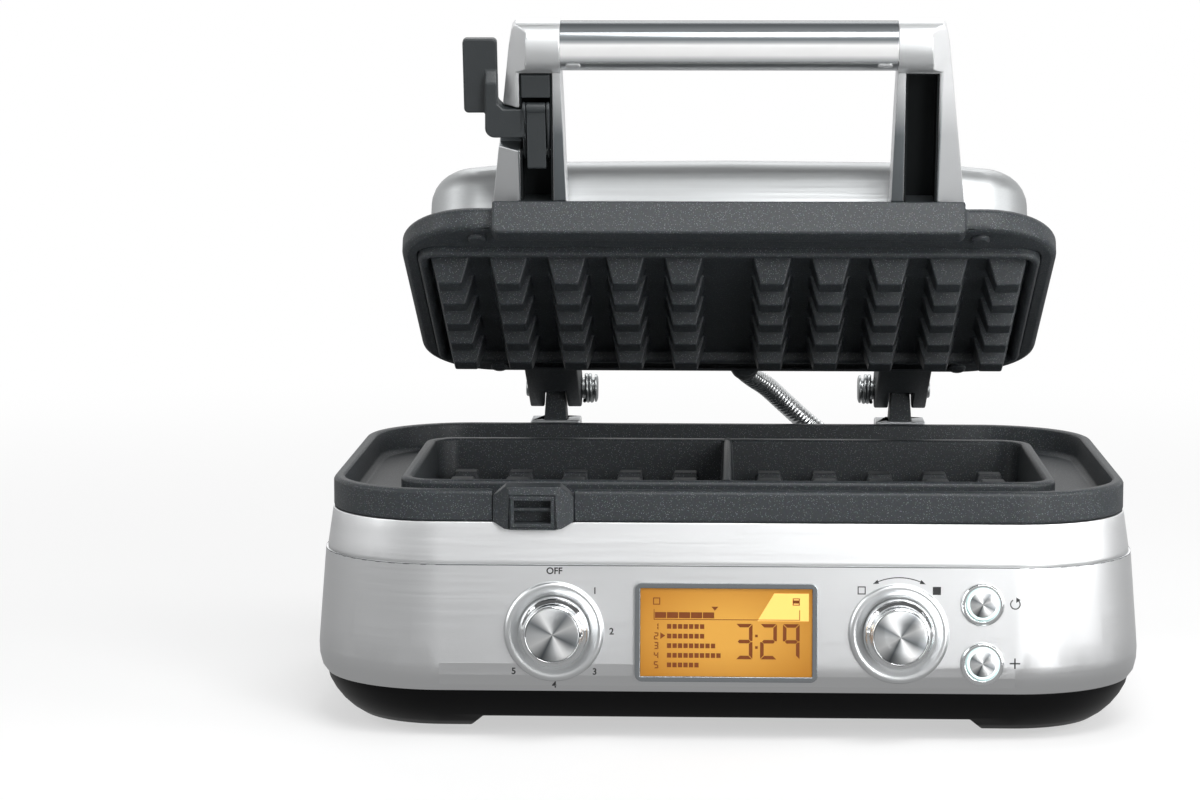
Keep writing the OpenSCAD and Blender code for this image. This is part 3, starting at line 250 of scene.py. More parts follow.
# Black glass-filled nylon, moulded: deep black with a soft sheen broken by a
# fine grain, 1.4 to the millimetre.
moulded_black, tree, shader = finish("moulded_nylon", "#030304", 0.36, Specular_IOR_Level=0.16)
grained(tree, shader, 1.4, 0.15)
dressed("tray", "base_tray", "base", moulded_black, 0.6)

# Moulded rubber: dull dark grey with no highlight.
rubber, tree, shader = finish("moulded_rubber", "#131415", 0.75)
dressed("foot_pads", "rubber_feet", "base", rubber, 0.5)

# ---------- steel housing and band ----------
# Stainless sheet, pressed round the base and brushed along its length. The
# lower housing slopes outward to its foot; the band stands upright above it.

seam_z = 75.2
seam_out = 3.6
slope_out, slope_high = 3.3, 41.2
corner_x, corner_y, corner_r = 120.7, 64.3, 50


def streaked(tree, shader, per_mm, low, high):
    """Brushing: the roughness runs in streaks, so many to the millimetre along x, y and z"""
    place = add(tree, "ShaderNodeTexCoord")
    stretch = add(
        tree, "ShaderNodeMapping", None,
        {"Vector": place.outputs["Object"], "Scale": [1000 * n for n in per_mm]},
    )
    lines = add(tree, "ShaderNodeTexNoise", None, {"Vector": stretch.outputs[0], "Scale": 1.0, "Detail": 3.0})
    tone = add(
        tree, "ShaderNodeMapRange", None,
        {"Value": lines.outputs["Fac"], "From Min": 0.3, "From Max": 0.7, "To Min": low, "To Max": high},
    )
    tree.links.new(tone.outputs[0], shader.inputs["Roughness"])
    return lines


def skin(bm, rings):
    """Joins closed rings of points, one after another, with four-sided faces"""
    for low, high in zip(rings, rings[1:]):
        for k in range(len(low)):
            n = (k + 1) % len(low)
            bm.faces.new((low[k], low[n], high[n], high[k]))


# Brushed stainless steel: level lines, 5.2 to the millimetre and some 45 mm
# long, that stretch each highlight up and down and give the grey fine streaks.
brushed, tree, shader = finish("brushed_stainless", "#DCDDDE", 0.33, 1.0, Anisotropic=0.6)
surface = add(tree, "ShaderNodeNewGeometry")
level = add(
    tree, "ShaderNodeVectorMath", {"operation": "CROSS_PRODUCT"},
    {0: (0, 0, 1), 1: surface.outputs["Normal"]},
)
tree.links.new(level.outputs["Vector"], shader.inputs["Tangent"])
lines = streaked(tree, shader, (0.022, 0.022, 5.2), 0.31, 0.43)
bump = add(
    tree, "ShaderNodeBump", None,
    {"Height": lines.outputs["Fac"], "Strength": 0.05, "Distance": 0.0001},
)
tree.links.new(bump.outputs[0], shader.inputs["Normal"])
dressed("steel_housing", "lower_housing", "base", brushed, 0)
dressed("steel_band", "upper_band", "base", brushed, 0.45)

# The joint between the two sheets: a thin grey shadow line round the body.
seal, tree, shader = finish("seam_shadow", "#4A4D4F", 0.6)
bm = bmesh.new()
rings = []
for z in (seam_z - 0.15, seam_z + 0.2):
    r = corner_r + seam_out + (seam_z - z) * slope_out / slope_high + 0.04
    ring = []
    for sx, sy, start in ((1, 1, 0), (-1, 1, 90), (-1, -1, 180), (1, -1, 270)):
        for k in range(13):
            a = math.radians(start + 7.5 * k)
            spot = Vector((sx * corner_x + r * math.cos(a), sy * corner_y + r * math.sin(a), z))
            ring.append(bm.verts.new(spot / 1000))
    rings.append(ring)
skin(bm, rings)
seam_line = new_piece("seam_line", mesh_from("seam_line", bm), seal)
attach(seam_line, "base")

# ---------- moat casting and lower plate ----------
# Cast aluminium with soft edges, under a dark ceramic-filled non-stick coating;
# the plate's studs and its rim stand in the moat that takes up spilt batter.

# Speckled non-stick coating: pale flecks, 1.35 to the millimetre, in a charcoal
# ground, on a slightly rough skin that dulls the highlights.
coated, tree, shader = finish(
    "speckled_coating", "#303437", 0.48, Specular_IOR_Level=0.28, Coat_Weight=0.05, Coat_Roughness=0.3,
)
place = add(tree, "ShaderNodeTexCoord")
flecks = add(tree, "ShaderNodeTexVoronoi", None, {"Vector": place.outputs["Object"], "Scale": 1000 * 1.35})
ramp = add(
    tree, "ShaderNodeValToRGB", None, {"Fac": flecks.outputs["Distance"]},
    ((0.0, "#979C9F"), (0.26, "#303437")),
)
cloud = add(
    tree, "ShaderNodeTexNoise", None,
    {"Vector": place.outputs["Object"], "Scale": 1000 * 0.7, "Detail": 3.0},
)
shade = add(
    tree, "ShaderNodeMix", {"data_type": "RGBA", "blend_type": "MULTIPLY"},
    {0: 0.35, 6: ramp.outputs["Color"], 7: cloud.outputs["Color"]},
)
tree.links.new(shade.outputs[2], shader.inputs["Base Color"])
bump = add(
    tree, "ShaderNodeBump", None,
    {"Height": cloud.outputs["Fac"], "Strength": 0.35, "Distance": 0.0003},
)
tree.links.new(bump.outputs[0], shader.inputs["Normal"])
dressed("moat_casting", "moat", "base", coated, 0.7)
dressed("lower_grill", "lower_plate", "base", coated, 0.8, 3)
dressed("lower_grill_rim", "lower_rim", "base", coated, 0.8, 3)
dressed("catch", "latch_catch", "base", coated, 0.35)

# ---------- display ----------
# Grey moulded frame, a clear window and behind it a lit amber liquid crystal
# panel whose figures are brown.

display_z = 47.6


def panel_place(x, z):
    """Frame on the sloping control panel, in metres: x right, y up the panel, z outward"""
    out = corner_y + corner_r + seam_out + (seam_z - z) * slope_out / slope_high
    lean = math.atan2(slope_out, slope_high)
    turned_up = Matrix.Rotation(math.pi / 2 - lean, 4, "X")
    return Matrix.Translation((x / 1000, -out / 1000, z / 1000)) @ turned_up


# Satin grey lacquer on the frame: a soft metallic edge round the window.
bezel_grey, tree, shader = finish("satin_grey_frame", "#9DA1A4", 0.22, 1.0)
dressed("display_frame", "lcd_bezel", "base", bezel_grey, 0.3)

# Lit amber foil behind glass: a warm glow, brightest in the middle, that turns
# browner within 45 mm.
amber, tree, shader = finish("lit_amber", "#E89B2C", 0.14, 0.0, Emission_Strength=0.1)
place = add(tree, "ShaderNodeTexCoord")
middle = add(
    tree, "ShaderNodeMapping", {"vector_type": "POINT"},
    {
        "Vector": place.outputs["Object"],
        "Location": (0.0, 0.0, -1.8 * display_z / 1000), "Scale": (1.0, 0.0, 1.8),
    },
)
away = add(tree, "ShaderNodeVectorMath", {"operation": "LENGTH"}, {0: middle.outputs[0]})
ramp = add(
    tree, "ShaderNodeValToRGB", None, {"Fac": away.outputs["Value"]},
    ((0.012, "#BE8C3B"), (0.045, "#9F6A20")),
)
tree.links.new(ramp.outputs["Color"], shader.inputs["Base Color"])
tree.links.new(ramp.outputs["Color"], shader.inputs["Emission Color"])


def repaint(material, *nodes):
    """Gives CAD nodes whose shape is right a finish of their own"""
    for node in nodes:
        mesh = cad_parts[node].data
        mesh.materials.clear()
        mesh.materials.append(material)


repaint(amber, "lcd_module", "lcd_window")


def flat_marks(name, shapes, place, height, material, body="base"):
    """Thin printed shapes, given as outlines in millimetres, laid on a place at a height"""
    bm = bmesh.new()
    for outline in shapes:
        corners = [bm.verts.new(place @ Vector((x / 1000, y / 1000, height / 1000))) for x, y in outline]
        bm.faces.new(corners)
    piece = new_piece(name, mesh_from(name, bm), material)
    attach(piece, body)


def bar(x0, y0, x1, y1):
    """Outline of an upright rectangle"""
    return [(x0, y0), (x1, y0), (x1, y1), (x0, y1)]


def figure(text, x, y, w, h, t):
    """Seven-segment figure with its lower left corner at x, y, its size w by h and strokes t thick"""
    lit = {"1": "bc", "2": "abged", "3": "abcdg", "4": "bcfg", "5": "acdfg", "9": "abcfg"}[text]
    m, g = h / 2, t * 0.14
    shapes = {
        "a": [(g, h), (t + g, h - t), (w - t - g, h - t), (w - g, h)],
        "d": [(g, 0), (w - g, 0), (w - t - g, t), (t + g, t)],
        "g": [
            (t * 0.55, m), (t, m - t / 2), (w - t, m - t / 2),
            (w - t * 0.55, m), (w - t, m + t / 2), (t, m + t / 2),
        ],
        "b": [(w, m + g), (w, h - g), (w - t, h - t - g), (w - t, m + t / 2 + g), (w - t * 0.5, m + g)],
        "c": [(w, g), (w, m - g), (w - t * 0.5, m - g), (w - t, m - t / 2 - g), (w - t, t + g)],
        "f": [(0, h - g), (0, m + g), (t * 0.5, m + g), (t, m + t / 2 + g), (t, h - t - g)],
        "e": [(0, m - g), (0, g), (t, t + g), (t, m - t / 2 - g), (t * 0.5, m - g)],
    }
    return [[(x + a, y + b) for a, b in shapes[k]] for k in lit]


# The time: three large figures and a colon.
shapes = []
for text, x in (("3", 4.0), ("2", 14.2), ("9", 23.7)):
    shapes += figure(text, x, -11.1, 7.0, 14.9, 1.5)
shapes += [bar(12.1, -1.8, 13.2, -0.7), bar(12.1, -6.7, 13.2, -5.6)]

# The browning scale: five blocks on a line, a pointer above and a square at each end.
for i in range(5):
    shapes.append(bar(-29.9 + i * 5.03, 6.0, -25.2 + i * 5.03, 8.5))
shapes += [bar(-30.4, 5.3, 30.8, 5.6), bar(-30.4, 5.6, -30.1, 9.7), bar(30.5, 5.6, 30.8, 9.7)]
shapes.append([(-4.8, 9.2), (-3.3, 10.9), (-6.3, 10.9)])
for x in (-29.2, 29.2):
    shapes += [bar(x - 1.5, 11.6, x + 1.5, 12.0), bar(x - 1.5, 14.2, x + 1.5, 14.6)]
    shapes += [bar(x - 1.5, 12.0, x - 1.1, 14.2), bar(x + 1.1, 12.0, x + 1.5, 14.2)]
shapes.append(bar(28.1, 12.4, 30.3, 13.8))

# The menu: five numbered rows of blocks, the second one pointed at.
shapes.append([(-27.6, -2.8), (-25.5, -1.4), (-27.6, 0.0)])
for row, (text, letters) in enumerate(zip("12345", (7, 7, 9, 10, 6))):
    y = 1.0 - row * 4.05
    shapes += figure(text, -30.3, y, 1.9, 3.0, 0.5)
    for k in range(letters):
        shapes.append(bar(-24.8 + k * 2.3, y + 0.5, -23.0 + k * 2.3, y + 2.5))

# Brown liquid crystal segments: dark marks that stand out flat from the amber.
segment_brown, tree, shader = finish("segment_brown", "#6E3813", 0.2)
# A painted reflection on the same amber foil, where the window's corner catches a lamp: a paler, faintly
# glowing patch.
glare_amber, tree, shader = finish("painted_glare_amber", "#F0BC62", 0.14, 0.0, Emission_Strength=0.16)
shader.inputs["Emission Color"].default_value = linear("#F6CB80")
glare = [[(13.0, 5.0), (34.5, 5.0), (34.5, 16.6), (20.0, 16.6)]]
window_out = 1.01
flat_marks("display_glare", glare, panel_place(0, display_z), window_out, glare_amber)
flat_marks("display_figures", shapes, panel_place(0, display_z), window_out + 0.01, segment_brown)

# ---------- dials ----------
# Dished ring of satin aluminium round each dial, and a turned, plated knob with
# a spun disc in its face; black figures are printed on the steel round them.

dial_x, dial_z = 72.2, 47.6


def turned(name, profile, place, material, body="base"):
    """A lathe shape from (radius, height) points in millimetres, with a round UV map in
    which x is the turn and y the radius in centimetres"""
    bm = bmesh.new()
    line = [bm.verts.new((r / 1000, 0, h / 1000)) for r, h in profile]
    edges = [bm.edges.new(pair) for pair in zip(line, line[1:])]
    bmesh.ops.spin(
        bm, geom=line + edges, cent=(0, 0, 0), axis=(0, 0, 1), dvec=(0, 0, 0),
        angle=2 * math.pi, steps=96, use_merge=True, use_duplicate=False,
    )
    bmesh.ops.remove_doubles(bm, verts=bm.verts, dist=1e-7)
    bmesh.ops.recalc_face_normals(bm, faces=bm.faces)
    uv = bm.loops.layers.uv.new("round")
    for face in bm.faces:
        middle = face.calc_center_median()
        base = math.atan2(middle.y, middle.x)
        for loop in face.loops:
            co = loop.vert.co
            turn = math.atan2(co.y, co.x) if co.xy.length > 1e-7 else base
            turn += 2 * math.pi * round((base - turn) / (2 * math.pi))
            loop[uv].uv = (turn / (2 * math.pi), co.xy.length * 100)
    bm.transform(place)
    piece = new_piece(name, mesh_from(name, bm, 40), material)
    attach(piece, body)
    return piece


# Spun aluminium: turning marks, six to the millimetre, in the bump, and in the colour a painted
# fan of pale and dark rays from the middle of the disc: painted highlights and reflections.
spun, tree, shader = finish("spun_aluminium", "#D4D6D7", 0.28, 1.0, Anisotropic=0.85)
way = add(tree, "ShaderNodeTangent", {"direction_type": "UV_MAP", "uv_map": "round"})
tree.links.new(way.outputs[0], shader.inputs["Tangent"])
chart = add(tree, "ShaderNodeUVMap", {"uv_map": "round"})
sides = add(tree, "ShaderNodeSeparateXYZ", None, {0: chart.outputs["UV"]})
turn = add(tree, "ShaderNodeMath", {"operation": "FRACT"}, {0: sides.outputs["X"]})
# Painted highlights and reflections: pale and dark wedges by the turn round the disc.
painted_ray_fan = add(
    tree, "ShaderNodeValToRGB", None, {"Fac": turn.outputs[0]},
    (
        (0.0, "#B2B5B7"), (0.07, "#F4F5F5"), (0.15, "#8C9093"), (0.25, "#D9DBDC"), (0.33, "#F6F7F7"),
        (0.42, "#7D8184"), (0.5, "#D3D5D6"), (0.58, "#F2F3F3"), (0.68, "#5E6265"), (0.76, "#C4C7C8"),
        (0.83, "#F7F7F7"), (0.93, "#6D7174"), (1.0, "#B2B5B7"),
    ),
)
tree.links.new(painted_ray_fan.outputs["Color"], shader.inputs["Base Color"])
marks = add(tree, "ShaderNodeMath", {"operation": "MULTIPLY"}, {0: sides.outputs["Y"], 1: 10 * 6.0})
fine = add(
    tree, "ShaderNodeTexNoise", {"noise_dimensions": "1D"},
    {"W": marks.outputs[0], "Scale": 1.0, "Detail": 2.0},
)
bump = add(
    tree, "ShaderNodeBump", None,
    {"Height": fine.outputs["Fac"], "Strength": 0.2, "Distance": 0.0001},
)
tree.links.new(bump.outputs[0], shader.inputs["Normal"])


def uneven(tree, shader, per_mm, low, high):
    """Lets the roughness drift between two values, in so many clouds to the millimetre"""
    place = add(tree, "ShaderNodeTexCoord")
    cloud = add(
        tree, "ShaderNodeTexNoise", None,
        {"Vector": place.outputs["Object"], "Scale": 1000 * per_mm, "Detail": 2.0},
    )
    tone = add(
        tree, "ShaderNodeMapRange", None,
        {"Value": cloud.outputs["Fac"], "To Min": low, "To Max": high},
    )
    tree.links.new(tone.outputs[0], shader.inputs["Roughness"])


# Bright chrome plating: close to a mirror, its gloss drifting over 11 mm.
plated, tree, shader = finish("bright_plating", "#E6E8E9", 0.08, 1.0)
uneven(tree, shader, 0.09, 0.06, 0.14)

# Satin anodised aluminium: pale, with a soft broad highlight.
satin_ring, tree, shader = finish("satin_anodised", "#DCDEDF", 0.27, 1.0)
uneven(tree, shader, 0.26, 0.25, 0.36)

dish = [
    (4.9, 0.9), (15.4, 0.9), (16.4, 1.15), (17.6, 1.7), (18.6, 2.05),
    (19.4, 2.1), (20.0, 1.95), (20.6, 1.5), (20.95, 0.9), (21.0, 0.0),
]
knob_disc = [(11.15, 15.1), (11.15, 15.6), (11.0, 15.85), (10.6, 15.95), (6.0, 15.82), (0.0, 15.72)]
for side, word in ((-dial_x, "menu"), (dial_x, "shade")):
    here = panel_place(side, dial_z)
    ring = turned(word + "_dish", dish, here, satin_ring)
    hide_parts(word + "_dial_ring")
    dressed(word + "_knob_body", word + "_knob", word + "_knob", plated, 0.25)
    disc = turned(word + "_knob_disc", knob_disc, here, spun, body=word + "_knob")
    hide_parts(word + "_knob_face")

# Short dark strokes at the disc's edge, in the knob's pointer notches.
notch_black, tree, shader = finish("notch_black", "#17191A", 0.35)
for word, side, angles in (("menu", -dial_x, (0,)), ("shade", dial_x, (90, 270))):
    shapes = []
    for angle in angles:
        a = Matrix.Rotation(math.radians(angle), 2)
        shapes.append([tuple(a @ Vector(c)) for c in bar(11.75, -1.0, 12.0, 1.0)])
    flat_marks(word + "_notch", shapes, panel_place(side, dial_z), 15.25, notch_black, word + "_knob")

# Screen-printed ink: flat black without a gloss of its own, 0.03 mm thick.
ink, tree, shader = finish("black_print", "#1C1D1E", 0.55)
ink_thick = 0.03
bm = bmesh.new()
bm.from_mesh(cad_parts["lower_housing"].data)
bm.verts.ensure_lookup_table()
steel_face = BVHTree.FromBMesh(bm)
bm.free()


def print_text(name, text, place, x, y, high):
    """Plain letters, high in millimetres, centred on x, y of a place and laid on the steel"""
    capital, bold = 0.7, 0.09
    curve = bpy.data.curves.new(name, "FONT")
    curve.body = text
    curve.size = high / capital / 1000
    curve.offset = bold / 1000
    curve.align_x, curve.align_y = "CENTER", "CENTER"
    holder = bpy.data.objects.new(name, curve)
    bpy.context.scene.collection.objects.link(holder)
    bpy.context.view_layer.update()
    mesh = bpy.data.meshes.new_from_object(holder.evaluated_get(bpy.context.evaluated_depsgraph_get()))
    bpy.data.objects.remove(holder)
    mesh.transform(Matrix.Translation((x / 1000, y / 1000, ink_thick / 1000)))
    mesh.transform(place)
    outward = (place.to_3x3() @ Vector((0, 0, 1))).normalized()
    for vertex in mesh.vertices:
        found = steel_face.ray_cast(vertex.co + outward * 0.003, -outward, 0.01)[0]
        if found:
            vertex.co = found + outward * ink_thick / 1000
    piece = new_piece(name, mesh, ink)
    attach(piece, "base")


def polar(r, degrees):
    """The point at a radius and an angle"""
    return r * math.cos(math.radians(degrees)), r * math.sin(math.radians(degrees))


here = panel_place(-dial_x, dial_z)
for text, angle in (("OFF", 90), ("1", 45), ("2", 0), ("3", -45), ("4", -90), ("5", -135)):
    x, y = polar(24.1, angle)
    print_text("dial_mark_" + text, text, here, x, y + (1.2 if text in ("OFF", "4") else 0), 2.7)

# Over the shade dial: a double arrow from a hollow square to a filled one.
arrow_r, arrow_end, tip_end = 23.5, 22, 28
arrow_line, arrow_half = 0.4, 0.9
shapes = []
for k in range(12):
    a = 90 - arrow_end + 2 * arrow_end * k / 12
    b = 90 - arrow_end + 2 * arrow_end * (k + 1) / 12
    inner, outer = arrow_r - arrow_line / 2, arrow_r + arrow_line / 2
    shapes.append([polar(inner, a), polar(outer, a), polar(outer, b), polar(inner, b)])
for s in (-1, 1):
    foot = 90 - s * arrow_end
    tip = 90 - s * tip_end
    head = [polar(arrow_r - arrow_half, foot), polar(arrow_r + arrow_half, foot), polar(arrow_r, tip)]
    shapes.append(head[::s])
square_r, square_at, half, hole = 23.9, 41, 1.7, 1.25
x, y = polar(square_r, 90 + square_at)
shapes += [bar(x - half, y - half, x + half, y - hole), bar(x - half, y + hole, x + half, y + half)]
shapes += [bar(x - half, y - hole, x - hole, y + hole), bar(x + hole, y - hole, x + half, y + hole)]
x, y = polar(square_r, 90 - square_at)
shapes.append(bar(x - half, y - half, x + half, y + half))
flat_marks("shade_arrow", shapes, panel_place(dial_x, dial_z), ink_thick, ink)

# ---------- push buttons ----------
# Spun metal buttons in a pale lit ring, each in a thin plated bezel, with a
# plain printed sign beside it: a turning arrow and a plus.

button_x, restart_z, more_z = 107, 60.2, 35.4

# Frosted ring lit from behind: a pale, slightly green glow.
ring_glow, tree, shader = finish("pale_light_ring", "#DDF0EF", 0.3, 0.0, Emission_Strength=0.3)
shader.inputs["Emission Color"].default_value = linear("#D8F2F0")
stem = [(6.7, -2.7), (7.9, -2.7), (7.9, -3.6), (2.0, -3.6), (2.0, -7.6), (0, -7.6)]
halo = [(6.7, -2.7), (6.7, 1.9), (6.5, 2.3), (6.1, 2.55), (5.5, 2.6)]
cap = [(5.5, 2.6), (5.4, 2.75), (5.0, 2.82), (2.5, 2.9), (0.0, 2.93)]
for word, z in (("restart", restart_z), ("more", more_z)):
    here = panel_place(button_x, z)
    dressed(word + "_bezel", word + "_ring", "base", plated, 0.15)
    turned(word + "_light", stem, here, moulded_black, body=word + "_button")
    turned(word + "_halo", halo, here, ring_glow, body=word + "_button")
    face = turned(word + "_face", cap, here, spun, body=word + "_button")
    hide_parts(word + "_button")

sign_x = 13.6
shapes = []
for k in range(20):
    a, b = 60 - 15 * k, 45 - 15 * k
    corners = (polar(1.75, a), polar(2.25, a), polar(2.25, b), polar(1.75, b))
    shapes.append([(sign_x + x, y) for x, y in corners][::-1])
shapes.append([(sign_x + x, y) for x, y in ((0.35, 2.9), (0.35, 0.6), (2.2, 1.85))])
flat_marks("restart_mark", shapes, panel_place(button_x, restart_z), ink_thick, ink)
shapes = [
    bar(sign_x - 2.2, -0.3, sign_x + 2.2, 0.3),
    bar(sign_x - 0.3, 0.3, sign_x + 0.3, 2.2),
    bar(sign_x - 0.3, -2.2, sign_x + 0.3, -0.3),
]
flat_marks("more_mark", shapes, panel_place(button_x, more_z), ink_thick, ink)

# ---------- inner pieces ----------
# Heaters, boards, switches and screws inside the shells, and the moulded sleeve
# of the mains cord in the rear wall.

# Zinc-plated steel: bluish grey, its gloss patchy over 2 mm.
zinc, tree, shader = finish("zinc_plate", "#A9ACAD", 0.35, 1.0)
uneven(tree, shader, 0.5, 0.28, 0.45)
repaint(zinc, "base_screws", "tie_posts", "latch_pin")
repaint(zinc, "heat_shield", "reflector", "lower_element", "upper_element")
# Green lacquer on glass fibre board, glossy and slightly uneven.
board_lacquer, tree, shader = finish("board_lacquer", "#1F5134", 0.35)
uneven(tree, shader, 0.3, 0.3, 0.45)
repaint(board_lacquer, "control_board", "power_board")
repaint(moulded_black, "menu_switch", "shade_switch", "button_switches", "thermostat")
dressed("cord_sleeve", "cord_inlet", "base", moulded_black, 0.5)

# ---------- hinges ----------
# Silver painted feet on the rear of the casting, dark posts with an eye, forks
# on the lid, steel pins, and on each pin a coil spring that carries the lid.

pin_y, pin_z = 125.0, 122.2

# Silver paint on the castings, with flakes 2.6 to the millimetre. Its colour holds painted
# reflections and shade: dark on the faces that mirror the lid, palest on the flanks and at the top.
silver_paint, tree, shader = finish("silver_paint", "#C0C3C5", 0.40, 0.8)
grained(tree, shader, 2.6, 0.15, detail=1.0)
place = add(tree, "ShaderNodeTexCoord")
height = add(tree, "ShaderNodeSeparateXYZ", None, {0: place.outputs["Object"]})
climb = add(
    tree, "ShaderNodeMapRange", None,
    {"Value": height.outputs["Z"], "From Min": 0.10, "From Max": 0.275},
)
# Painted shade and highlight by height: pale low down, dark across the middle, palest at the top.
painted_height_shade = add(
    tree, "ShaderNodeValToRGB", None, {"Fac": climb.outputs[0]},
    ((0.1, "#A9ACAE"), (0.38, "#44494C"), (0.62, "#54595C"), (0.88, "#6E7376"), (1.0, "#D6D8D9")),
)
# Painted highlight on the flanks: faces turned sideways are mixed towards a pale grey.
outward = add(tree, "ShaderNodeSeparateXYZ", None, {0: place.outputs["Normal"]})
across = add(tree, "ShaderNodeMath", {"operation": "ABSOLUTE"}, {0: outward.outputs["X"]})
flank_highlight = add(tree, "ShaderNodeMapRange", None, {"Value": across.outputs[0], "From Min": 0.2, "From Max": 0.95})
shade = add(
    tree, "ShaderNodeMix", {"data_type": "RGBA"},
    {0: flank_highlight.outputs[0], 6: painted_height_shade.outputs["Color"], 7: linear("#E6E7E8")},
)
tree.links.new(shade.outputs[2], shader.inputs["Base Color"])
for side in ("left", "right"):
    dressed("hinge_seat_" + side, "hinge_foot_" + side, "base", silver_paint, 0.8, 3)
    dressed("hinge_pillar_" + side, "hinge_post_" + side, "base", coated, 0.5)
    dressed("hinge_ears_" + side, "hinge_fork_" + side, "lid", coated, 0.8, 3)
dressed("pins", "hinge_pins", "base", zinc, 0.3)

coil_x, coil_r, wire_r = 69.9, 6.4, 0.9
coil_long, coil_turns, coil_steps = 3.8, 2.1, 84
axle = Vector((0, pin_y, pin_z)) / 1000
bm = bmesh.new()
for side in (-1, 1):
    made = bmesh.ops.create_circle(bm, cap_ends=False, segments=12, radius=wire_r / 1000)["verts"]
    bmesh.ops.rotate(bm, verts=made, cent=(0, 0, 0), matrix=Matrix.Rotation(math.pi / 2, 3, "X"))
    bmesh.ops.translate(bm, verts=made, vec=(coil_r / 1000, 0, 0))
    ring = list({e for v in made for e in v.link_edges})
    bmesh.ops.rotate(bm, verts=made, cent=(0, 0, 0), matrix=Matrix.Rotation(math.pi / 2, 3, "Y"))
    bmesh.ops.translate(bm, verts=made, vec=axle + Vector((side * coil_x / 1000, 0, 0)))
    bmesh.ops.spin(
        bm, geom=made + ring, cent=axle, axis=(1, 0, 0),
        dvec=(-side * coil_long / 1000 / coil_steps, 0, 0), angle=math.radians(360 * coil_turns),
        steps=coil_steps, use_merge=False, use_duplicate=False,
    )
bmesh.ops.recalc_face_normals(bm, faces=bm.faces)
coils = new_piece("coil_springs", mesh_from("coil_springs", bm, 180), zinc)
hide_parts("hinge_springs")
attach(coils, "base")

# ---------- lid ----------
# Cast frame with the same speckled coating, the upper grill plate screwed up
# into it, and a pressed stainless cover over the heater.

dressed("lid_casting", "lid_frame", "lid", coated, 1.2, 3)
dressed("upper_grill", "upper_plate", "lid", coated, 0.8, 3)
dressed("plate_fixings", "plate_screws", "lid", coated, 0.2)

# Satin stainless steel: polishing lines along x, 1.8 to the millimetre, in a
# dull pale grey.
satin_steel, tree, shader = finish("satin_stainless", "#A9ABAC", 0.48, 1.0)
streaked(tree, shader, (0.014, 1.8, 1.8), 0.42, 0.54)
dressed("steel_cover", "lid_cover", "lid", satin_steel, 0)

# ---------- handle ----------
# Cast arms in silver paint, a plated bar between them with a satin strip below,
# and on the left arm the latch of dark nylon.

# The two small nibs that hold the strip under the bar.
nib_x, nib_y, nib_z, nib_tilt = 65.1, -98.2, 283.6, 141.7
nib_half, nib_r = 1.9, 1.25
bm = bmesh.new()
for side in (-1, 1):
    spot = Vector((side * nib_x, nib_y, nib_z)) / 1000
    place = Matrix.Translation(spot) @ Matrix.Rotation(math.radians(nib_tilt), 4, "X")
    rings = []
    for high, wide, deep in ((-1.2, 1, 1), (0.2, 1, 1), (0.5, 0.86, 0.72)):
        ring = []
        for s, start in ((1, -90), (-1, 90)):
            for k in range(9):
                x, y = polar(nib_r, start + 22.5 * k)
                point = Vector(((nib_half * s + x) * wide, y * deep, high)) / 1000
                ring.append(bm.verts.new(place @ point))
        rings.append(ring)
    skin(bm, rings)
    bm.faces.new(rings[-1])
bmesh.ops.recalc_face_normals(bm, faces=bm.faces)
nibs = new_piece("strip_nibs", mesh_from("strip_nibs", bm), silver_paint)
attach(nibs, "lid")

# Unpainted black nylon in the arms' recesses: dull, hardly a highlight.
liner_nylon, tree, shader = finish("liner_nylon", "#101314", 0.7, Specular_IOR_Level=0.12)
grained(tree, shader, 1.2, 0.2)
repaint(liner_nylon, "arm_liner_left", "arm_liner_right")
dressed("left_arm", "handle_arm_left", "lid", silver_paint, 0.5, join=False)
dressed("right_arm", "handle_arm_right", "lid", silver_paint, 0.5, join=False)

# Chrome on the bar with painted reflections: its colour holds level bands of white and dark
# that follow the way a face looks up or down, as a round bar mirrors a bright room.
bar_chrome, tree, shader = finish("bar_chrome", "#E6E8E9", 0.12, 0.6)
place = add(tree, "ShaderNodeTexCoord")
facing = add(tree, "ShaderNodeSeparateXYZ", None, {0: place.outputs["Normal"]})
climb = add(
    tree, "ShaderNodeMapRange", None,
    {"Value": facing.outputs["Z"], "From Min": -1.0, "From Max": 1.0},
)
# Painted reflection bands in the colour, set by the way each face looks up or down.
bands = add(
    tree, "ShaderNodeValToRGB", None, {"Fac": climb.outputs[0]},
    (
        (0.0, "#63686B"), (0.14, "#7A7F82"), (0.24, "#C9CCCD"), (0.32, "#FFFFFF"), (0.52, "#FFFFFF"),
        (0.57, "#A9ACAE"), (0.62, "#6C7174"), (0.82, "#8E9295"), (0.93, "#55595C"), (1.0, "#3E4244"),
    ),
)
tree.links.new(bands.outputs["Color"], shader.inputs["Base Color"])
uneven(tree, shader, 0.09, 0.09, 0.17)
dressed("grip_bar", "handle_bar", "lid", bar_chrome, 0.2)
dressed("grip_strip", "grip_insert", "lid", satin_ring, 0.3)

# Dark grey moulded nylon on the latch and the glands: a soft sheen on a grain
# of 1.5 to the millimetre.
dark_nylon, tree, shader = finish("dark_nylon", "#2A2E30", 0.45)
grained(tree, shader, 1.5, 0.25, depth=0.2)
dressed("latch_stop", "latch_block", "lid", dark_nylon, 0.5)
dressed("latch_paddle", "latch_lever", "latch_lever", dark_nylon, 0.8, 3)
dressed("latch_claw", "latch_hook", "latch_hook", dark_nylon, 0.3)

# ---------- conduit ----------
# Flexible wound steel tube that takes the lid's wiring from the base, laid in one fixed
# shape for the lid at rest. It is held in a moulded gland at each end.

dressed("base_socket", "base_gland", "base", dark_nylon, 0.6)
dressed("lid_socket", "lid_gland", "lid", dark_nylon, 0.4)

